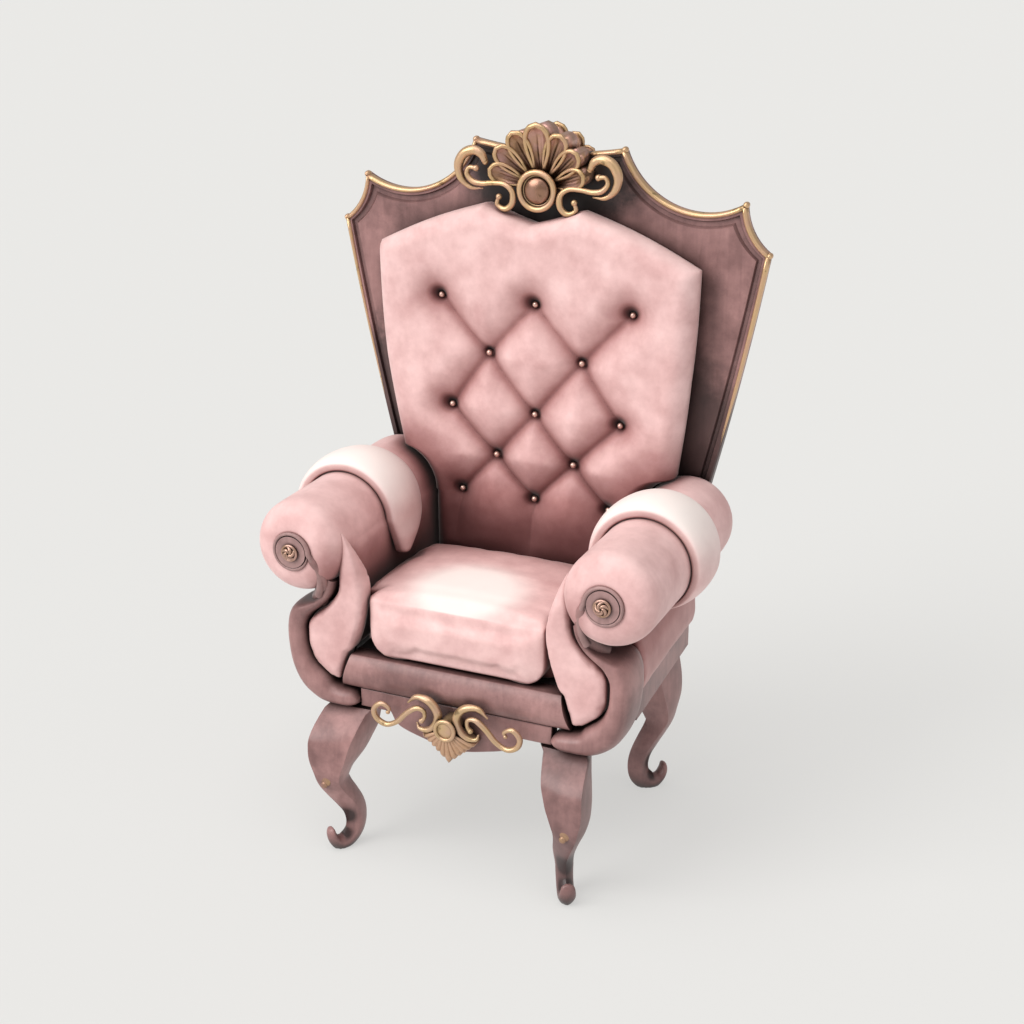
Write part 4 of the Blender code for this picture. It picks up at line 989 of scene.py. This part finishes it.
for side, word in ((-1, "left"), (1, "right")):
    way = []
    for step in range(9):
        t = step / 8
        fade = 0.75 + 0.25 * min(1.0, t * 2)
        way.append((0.2320 + 0.0140 * t, 0.6185 + 0.0765 * t, -1.0, 0.0, fade, 1 - t))
    for step in range(1, 53):
        angle = radians(180 - 240 * step / 52)
        fade = min(1.0, (53 - step) / 12) ** 0.6
        c, s = cos(angle), sin(angle)
        way.append((ROLL_X + CUFF_RADIUS * c, ROLL_Z + CUFF_RADIUS * s, c, s, fade, 0.0))

    def cuff_place(station, angle):
        x, z, out_x, out_z, fade, late = station
        back, rise = cuff_section(numbered(angle, CUFF_STEPS))
        back = back * (1 - 0.78 * late ** 1.6) + 0.020 * late
        return Vector((side * (x + out_x * fade * rise), CUFF_FRONT + back, z + out_z * fade * rise))

    bm = bmesh.new()
    drawn_out(bm, CUFF_STEPS, way, cuff_place)
    sleeve = fitted(bm, f"arm_cuff_{word}", cuff_velvet, "pink_velvet", f"arm_sleeve_{word}")
    finer = sleeve.modifiers.new("finer", "SUBSURF")
    finer.levels = finer.render_levels = 1
    settled(sleeve)
    sleeve.data.polygons.foreach_set("use_smooth", [True] * len(sleeve.data.polygons))


# Facings.
# A leaf-shaped pad fills each post on the inside, pointed at the rail and full in the middle,
# and its top runs up over the front of the roll.

for side, word in ((-1, "left"), (1, "right")):
    outline = through(on_post(FACING_OUTER), 3) + on_post(FACING_TIP) + through(on_post(FACING_INNER), 3)
    bm = bmesh.new()
    board(bm, outline, -0.2470, -0.2050, side)
    for vert in bm.verts:
        thin = min(max((vert.co.z - 0.640) / 0.085, 0.0), 1.0)
        vert.co.y = -0.2470 + (vert.co.y + 0.2470) * (1 - 0.72 * thin)
    facing = fitted(bm, f"leaf_facing_{word}", pink_velvet, "pink_velvet", f"arm_facing_{word}")
    stuffed(facing, 0.0035, 4.0, 0.006, 4)


# Outer sides.
# Below each roll the side is a plain padded panel over the side rail,
# full at the bottom and drawn in under the roll.

for side, word in ((-1, "left"), (1, "right")):
    low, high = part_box(f"side_panel_{word}")
    bm = bmesh.new()
    ring = [
        (0.001, low.z + 0.001), (0.78, low.z + 0.001), (0.97, low.z + 0.030), (0.92, low.z + 0.065),
        (0.70, low.z + 0.100), (0.43, high.z - 0.002), (0.001, high.z - 0.002),
    ]

    def side_place(station, angle):
        y, swell = station
        out, z = ring[numbered(angle, len(ring))]
        return Vector((side * (0.3355 + out * swell), y, z))

    drawn_out(bm, len(ring), ((low.y + 0.001, 0.047), (high.y - 0.001, 0.027)), side_place)
    panel = fitted(bm, f"outer_side_{word}", pink_velvet, "pink_velvet", f"side_panel_{word}")
    stuffed(panel, 0.005, 2.0, 0.003, 3)
    # Painted shade: the panel is darkened all over and more towards the top, under the roll.
    shade_painted_by(panel, lambda place: 0.24 + 0.34 * min(max((place.z - 0.515) / 0.07, 0.0), 1.0))


# Seat cushion.
# A loose box cushion stuffed with down, with a boxed front border and a crowned top.
# Its front lower corners are cut round, and it fills the seat between the arm walls.

low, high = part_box("seat_cushion")
# Painted highlight: the top of the cushion is made pale in a pool towards the front.
seat_velvet = pile_velvet(
    "top_lit_seat_velvet", (0.88, 0.60, 0.58), (0.68, 0.41, 0.40), 0.90,
    ((-0.01, -0.145, 0.60), (0.205, 0.185, 0.30)),
)


def cushion_outline(half, corner, top, crown):
    """Outline of the cushion across the seat: round lower corners, upright sides and a crowned top."""
    points = [(0.0, low.z + 0.001)]
    for step in range(9):
        angle = radians(-90 + 90 * step / 8)
        points.append((half - corner + corner * cos(angle), low.z + 0.001 + corner * (1 + sin(angle))))
    points.append((half, (low.z + corner + top) / 2))
    for step in range(11):
        x = half * (1 - step / 10)
        points.append((x, top + crown * (1 - (x / half) ** 2)))
    return points + [(-x, z) for x, z in reversed(points[1:-1])]


TOP = low.z + 0.133
front_part = [(-0.2385, 0.197, 0.046, TOP - 0.004, 0.0), (-0.2350, 0.203, 0.052, TOP, 0.001)]
front_part += [(-0.215, 0.2045, 0.052, TOP + 0.001, 0.005), (-0.165, 0.2045, 0.052, TOP, 0.009)]
main_part = [(-0.190, 0.2315, 0.050, TOP - 0.004, 0.010), (-0.150, 0.2330, 0.040, TOP, 0.012)]
main_part += [(-0.05, 0.2330, 0.035, TOP + 0.002, 0.016), (0.06, 0.2330, 0.035, TOP - 0.004, 0.014)]
main_part += [(0.12, 0.2290, 0.035, TOP - 0.014, 0.010), (0.145, 0.2150, 0.030, TOP - 0.034, 0.004)]
bm = bmesh.new()
for part in (front_part, main_part):
    sides = len(cushion_outline(*part[0][1:]))
    outlines = {station[0]: cushion_outline(*station[1:]) for station in part}

    def cushion_place(station, angle):
        x, z = outlines[station[0]][numbered(angle, sides)]
        return Vector((x, station[0], z))

    drawn_out(bm, sides, part, cushion_place)
cushion = fitted(bm, "box_cushion", seat_velvet, "pink_velvet", "seat_cushion")
stuffed(cushion, 0.0055, 3.0, 0.007, 1)


def seat_shade(place):
    """Painted shade: the top of the cushion is darkened at the rear, under the back, and along the arms."""
    rear = min(max((place.y - 0.01) / 0.15, 0.0), 1.0)
    beside = min(max((abs(place.x) - 0.165) / 0.065, 0.0), 1.0) * min(max((place.y + 0.16) / 0.12, 0.0), 1.0)
    return 0.60 * max(rear ** 1.3, beside)


shade_painted_by(cushion, seat_shade)


# Crest.
# A cast gilt mount pinned to the middle of the top: seven dished petals with raised rims over a
# ringed cabochon, and an open scroll and a small hook each side.

copper = antique_gilt("copper_petals", (0.56, 0.325, 0.185), (0.150, 0.074, 0.040), (0.78, 0.45, 0.42), 0.28)
brown_gilt = antique_gilt("browned_rims", (0.64, 0.43, 0.22), (0.090, 0.048, 0.024), (0.64, 0.40, 0.26), 0.30)
brown_boss = antique_gilt(
    "browned_boss", (0.32, 0.175, 0.110), (0.030, 0.014, 0.010), (0.40, 0.220, 0.165), 0.20,
)
PETALS = (
    (20, 0.112, 0.0205), (42.5, 0.1225, 0.0215), (65, 0.129, 0.0225), (115, 0.129, 0.0225),
    (137.5, 0.1225, 0.0215), (160, 0.112, 0.0205), (90, 0.1370, 0.0265),
)
CREST_Z = 1.385


def petal_way(root, tip, half, t, s):
    """Way out and across of a place on a petal; t runs from root to tip and s from edge to edge."""
    shape = 0.30 + 0.70 * sin(pi / 2 * min(t / 0.66, 1.0)) ** 1.2
    if t > 0.66:
        shape = sqrt(max(1 - ((t - 0.66) / 0.34) ** 2, 0.0))
    return root + (tip - root) * t, half * shape * s


def backed(bm, edges, y_back):
    """Draws the open edge of a cast face straight back to a plane and closes it there."""
    made = bmesh.ops.extrude_edge_only(bm, edges=edges)["geom"]
    for vert in verts_of(made):
        vert.co.y = y_back
    bmesh.ops.holes_fill(bm, edges=open_edges_of(made))


def petal(faces, rims, centre, angle, root, tip, half, y_back, rise, side=-1):
    """One dished petal with a raised rim; it points out from the centre at an angle."""
    out, across = Vector((cos(angle), 0, sin(angle))), Vector((-sin(angle), 0, cos(angle)))
    grid = bmesh.ops.create_grid(faces, x_segments=12, y_segments=20, size=1.0)["verts"]
    for vert in grid:
        s, t = vert.co.x, (vert.co.y + 1) / 2
        way, wide = petal_way(root, tip, half, t, s)
        edge = max(abs(s), min(max((t - 0.70) / 0.30, 0.0), 1.0))
        fluting = 0.035 * cos(3 * pi * s) * (1 - edge) if t < 0.8 else 0.0
        height = rise * (0.66 + 0.26 * t + fluting) - 0.0125 * (1 - edge ** 2)
        vert.co = centre + out * way + across * wide
        vert.co.y = y_back + side * height
    backed(faces, [e for e in {e for v in grid for e in v.link_edges} if e.is_boundary], y_back)
    places = [(0.08 + 0.92 * i / 16, -1) for i in range(17)] + [(1.0 - 0.92 * i / 16, 1) for i in range(1, 17)]
    points, widths = [], []
    for t, s in places:
        way, wide = petal_way(root, tip, half, t, s)
        place = centre + out * way + across * wide
        points.append((place.x, y_back + side * rise * (0.66 + 0.26 * t), place.z))
        widths.append(half * (0.125 + 0.115 * t))
    kept = [points[0]] + [b for a, b in zip(points, points[1:]) if (Vector(b) - Vector(a)).length > 2e-4]
    rod(rims, kept, [widths[points.index(point)] for point in kept], 8, 1.1)


def hoop(bm, centre, radius, thick, steps=40):
    """A ring of round rod facing the front."""
    section = bmesh.ops.create_circle(bm, segments=12, radius=thick)
    for vert in section["verts"]:
        vert.co = Vector((radius + vert.co.x, vert.co.y, 0.0)) + centre
    edges = list({e for v in section["verts"] for e in v.link_edges})
    bmesh.ops.spin(
        bm, geom=edges, cent=centre, axis=(0, 1, 0), angle=2 * pi, steps=steps, use_merge=True,
    )


def from_level(level, points):
    """Places from pairs of the way out and the height over a level."""
    return [(x, level + rise) for x, rise in points]


def strand(bm, side, way, y, sizes, ball=0.0):
    """A cast strand with round ends whose thickness follows the sizes; it may end in a ball."""
    last, widths = len(sizes) - 1, []
    for i in range(len(way)):
        spot = last * i / (len(way) - 1)
        before = min(int(spot), last - 1)
        share = (spot - before) ** 2 * (3 - 2 * (spot - before))
        widths.append(sizes[before] + (sizes[before + 1] - sizes[before]) * share)
    points = [(side * x, y - 0.3 * width, z) for (x, z), width in zip(way, widths)]
    rod(bm, points, widths, 12, 1.1)
    for point, radius in ((points[0], widths[0]), (points[-1], max(ball, widths[-1]))):
        bmesh.ops.create_uvsphere(
            bm, u_segments=14, v_segments=10, radius=radius * 1.02, matrix=Matrix.Translation(point),
        )


def dome(bm, centre, radius, flat):
    """A flattened ball."""
    place = Matrix.Translation(centre) @ Matrix.Diagonal((1, flat, 1, 1))
    bmesh.ops.create_uvsphere(bm, u_segments=32, v_segments=18, radius=radius, matrix=place)


def stem(bm, centre, radius, y_back):
    """A round stem from the back of a mount to its boss."""
    depth = abs(centre.y - y_back)
    place = Matrix.Translation((centre.x, (centre.y + y_back) / 2, centre.z)) @ Matrix.Rotation(pi / 2, 4, "X")
    bmesh.ops.create_cone(
        bm, cap_ends=True, segments=40, radius1=radius, radius2=radius, depth=depth, matrix=place,
    )


low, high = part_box("crest_mount")
faces, rims = bmesh.new(), bmesh.new()
for turn, reach, half in PETALS:
    rise = 0.0735 if turn == 90 else 0.0710
    petal(faces, rims, Vector((0, 0, CREST_Z)), radians(turn), 0.034, reach, half, high.y, rise)
fitted(faces, "crest_petals", copper, "antique_gilt", "crest_mount")
fitted(rims, "crest_rims", brown_gilt, "antique_gilt", "crest_mount")

crest_centre = Vector((0.0, high.y - 0.062, CREST_Z))
bm = bmesh.new()
hoop(bm, crest_centre, 0.0390, 0.0062)
hoop(bm, crest_centre + Vector((0, 0.005, 0)), 0.0318, 0.0030)
for side in (-1, 1):
    scroll = through(from_level(CREST_Z, (
        (0.1180, 0.052), (0.1280, 0.069), (0.1460, 0.0750), (0.1680, 0.065),
        (0.1800, 0.040), (0.1730, 0.013), (0.1520, -0.003), (0.1260, -0.004),
    )), 5)
    strand(bm, side, scroll, high.y - 0.0575, (0.0066, 0.0094, 0.0108, 0.0104, 0.0084, 0.0056, 0.0022))
    inner = through(from_level(CREST_Z, (
        (0.1380, 0.038), (0.1530, 0.039), (0.1590, 0.026), (0.1460, 0.011),
        (0.1240, 0.007), (0.1000, 0.010), (0.0720, 0.009), (0.0540, -0.006),
        (0.0545, -0.030), (0.0710, -0.043), (0.0890, -0.034), (0.0850, -0.018),
    )), 5)
    strand(bm, side, inner, high.y - 0.0620, (
        0.0050, 0.0046, 0.0056, 0.0062, 0.0056, 0.0054, 0.0060, 0.0070, 0.0066, 0.0050, 0.0040,
    ), 0.0066)
    dome(bm, Vector((side * 0.1380, high.y - 0.0630, CREST_Z + 0.038)), 0.0070, 1.0)
fitted(bm, "crest_scrolls", gilt, "antique_gilt", "crest_mount")

bm = bmesh.new()
dome(bm, crest_centre + Vector((0, 0.004, 0)), 0.0290, 0.42)
stem(bm, crest_centre + Vector((0, 0.004, 0)), 0.0400, high.y)
cabochon = fitted(bm, "crest_cabochon", brown_boss, "antique_gilt", "crest_mount")
creased(cabochon, 50)


# Rear shell.
# A second fan of petals closes the back of the crest behind the shield.
# It is pinned through to the front mount.

low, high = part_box("crest_shell_rear")
faces, rims = bmesh.new(), bmesh.new()
for turn, reach, half in PETALS:
    petal(faces, rims, Vector((0, 0, CREST_Z)), radians(turn), 0.030, reach * 0.9, half * 0.9, low.y, 0.028, 1)
centre = Vector((0.0, low.y + 0.018, CREST_Z))
dome(faces, centre, 0.034, 0.40)
stem(faces, centre, 0.034, low.y)
hoop(rims, centre, 0.035, 0.005)
fitted(faces, "rear_shell", copper, "antique_gilt", "crest_shell_rear")
fitted(rims, "rear_rims", brown_gilt, "antique_gilt", "crest_shell_rear")


# Apron mount.
# A cast gilt drop on the apron: a ringed boss over a pointed fluted fan, a thick curl round each side
# of the boss, and a long strand that winds out of the curl to an open hook.

pale_gilt = antique_gilt("worn_pale_gilt", (0.62, 0.43, 0.235), (0.045, 0.022, 0.012), (0.62, 0.40, 0.29), 0.30)
fan_gilt = antique_gilt("coppery_fan", (0.58, 0.35, 0.21), (0.060, 0.028, 0.015), (0.70, 0.46, 0.32), 0.30)
apron_back = -0.2418
APRON_Z = 0.3525
bm = bmesh.new()
bmesh.ops.create_grid(bm, x_segments=90, y_segments=20, size=1.0)
for vert in bm.verts:
    u, t = vert.co.x, (vert.co.y + 1) / 2
    angle = radians(-90 + 66 * u)
    flute = abs(cos(5.5 * pi * u))
    reach = 0.084 / (0.87 * abs(cos(angle)) - sin(angle)) * (0.955 + 0.045 * flute)
    out = 0.016 + (reach - 0.016) * t
    height = 0.040 - 0.010 * t ** 2 + 0.0036 * flute * t ** 0.6 - 0.0060 * max(t - 0.86, 0.0) / 0.14
    vert.co = Vector((out * cos(angle), apron_back - height, APRON_Z + out * sin(angle)))
backed(bm, [edge for edge in bm.edges if edge.is_boundary], apron_back)
fan = fitted(bm, "apron_fan", fan_gilt, "antique_gilt", "apron_mount")
creased(fan, 50)

bm = bmesh.new()
centre = Vector((0.0, apron_back - 0.0465, APRON_Z))
hoop(bm, centre, 0.0210, 0.0044)
dome(bm, centre + Vector((0, 0.002, 0)), 0.0185, 0.20)
stem(bm, centre, 0.0210, apron_back)
for side in (-1, 1):
    curl = through(from_level(APRON_Z, (
        (0.0900, 0.0405), (0.0700, 0.0575), (0.0400, 0.0530), (0.0215, 0.0290),
        (0.0270, 0.003), (0.0440, -0.0130), (0.0640, -0.0140), (0.0700, -0.003),
    )), 6)
    strand(bm, side, curl, apron_back - 0.030, (0.0022, 0.0060, 0.0086, 0.0090, 0.0080, 0.0068, 0.0046, 0.0022))
    run = through(from_level(APRON_Z, (
        (0.0560, 0.0085), (0.0490, 0.0180), (0.0510, 0.0320), (0.0680, 0.0355),
        (0.0910, 0.0185), (0.1130, -0.0050), (0.1380, -0.0165), (0.1610, -0.0065),
        (0.1665, 0.0140), (0.1500, 0.0300), (0.1320, 0.0215), (0.1345, 0.0120),
    )), 5)
    strand(bm, side, run, apron_back - 0.038, (
        0.0052, 0.0040, 0.0050, 0.0062, 0.0060, 0.0056, 0.0062, 0.0062, 0.0056, 0.0044, 0.0030,
    ), 0.0046)
    dome(bm, Vector((side * 0.0560, apron_back - 0.0395, APRON_Z + 0.0085)), 0.0060, 1.0)
mount = fitted(bm, "apron_scrolls", pale_gilt, "antique_gilt", "apron_mount")
creased(mount, 60)


# Leg mounts.
# A thin cast gilt leaf is let into the shin of each leg,
# and most of its gilding has worn off.

worn_gilt = antique_gilt(
    "rubbed_leg_gilt", (0.46, 0.29, 0.165), (0.20, 0.105, 0.085), (0.30, 0.165, 0.150), 0.42,
)
for word in ("left", "right"):
    for end, way in (("front", -1), ("rear", 1)):
        low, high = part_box(f"leg_mount_{end}_{word}")
        middle = (low + high) / 2
        bm = bmesh.new()
        for dx, dz, wide, tall in (
            (0.0, 0.002, 0.0115, 0.0145), (-0.004, -0.009, 0.0075, 0.0080), (0.003, 0.011, 0.0075, 0.0060),
        ):
            place = Matrix.Translation((middle.x + dx, way * (0.3045 - 0.2 * dz), middle.z + dz))
            place = place @ Matrix.Diagonal((wide, 0.0042, tall, 1))
            bmesh.ops.create_uvsphere(bm, u_segments=24, v_segments=14, radius=1.0, matrix=place)
        fitted(bm, f"shin_leaf_{end}_{word}", worn_gilt, "antique_gilt", f"leg_mount_{end}_{word}")


# Studio.
# A plain pale floor and soft even light from above and the front,
# with the camera where the photographer stood.

bm = bmesh.new()
bmesh.ops.create_grid(bm, x_segments=1, y_segments=1, size=40.0)
mesh = bpy.data.meshes.new("studio_floor")
bm.to_mesh(mesh)
bm.free()
floor_paint, tree, paint, _ = new_finish("pale_floor")
filled(tree, paint, {
    "Base Color": (0.27, 0.27, 0.266, 1.0), "Emission Color": (0.90, 0.893, 0.873, 1.0),
    "Emission Strength": 0.575, "Roughness": 0.95, "Specular IOR Level": 0.0,
})
mesh.materials.append(floor_paint)
floor = bpy.data.objects.new("studio_floor", mesh)
bpy.context.scene.collection.objects.link(floor)

world = bpy.data.worlds.new("studio")
bpy.context.scene.world = world
world.use_nodes = True
sky = world.node_tree.nodes["Background"]
sky.inputs["Color"].default_value = (0.93, 0.93, 0.92, 1.0)
sky.inputs["Strength"].default_value = 0.37
for name, aim, strength, spread in (
    ("overhead_light", (0.12, 0.30, -1.0), 1.46, 55), ("front_light", (0.62, 0.78, -0.55), 1.92, 40),
    ("side_light", (-0.85, 0.30, -0.42), 0.36, 60),
):
    lamp = bpy.data.lights.new(name, "SUN")
    lamp.energy = strength
    lamp.angle = radians(spread)
    lamp.color = (1.0, 0.985, 0.965)
    holder = bpy.data.objects.new(name, lamp)
    holder.rotation_euler = Vector(aim).to_track_quat("-Z", "Y").to_euler()
    bpy.context.scene.collection.objects.link(holder)

lens = bpy.data.cameras.new("camera")
lens.lens = 63.04
lens.sensor_width = 36.0
camera = bpy.data.objects.new("camera", lens)
camera.location = (1.45849, -3.23668, 2.10022)
camera.rotation_euler = Vector((-0.37798, 0.85337, -0.35902)).to_track_quat("-Z", "Y").to_euler()
bpy.context.scene.collection.objects.link(camera)
bpy.context.scene.camera = camera
bpy.context.scene.view_settings.view_transform = "Standard"
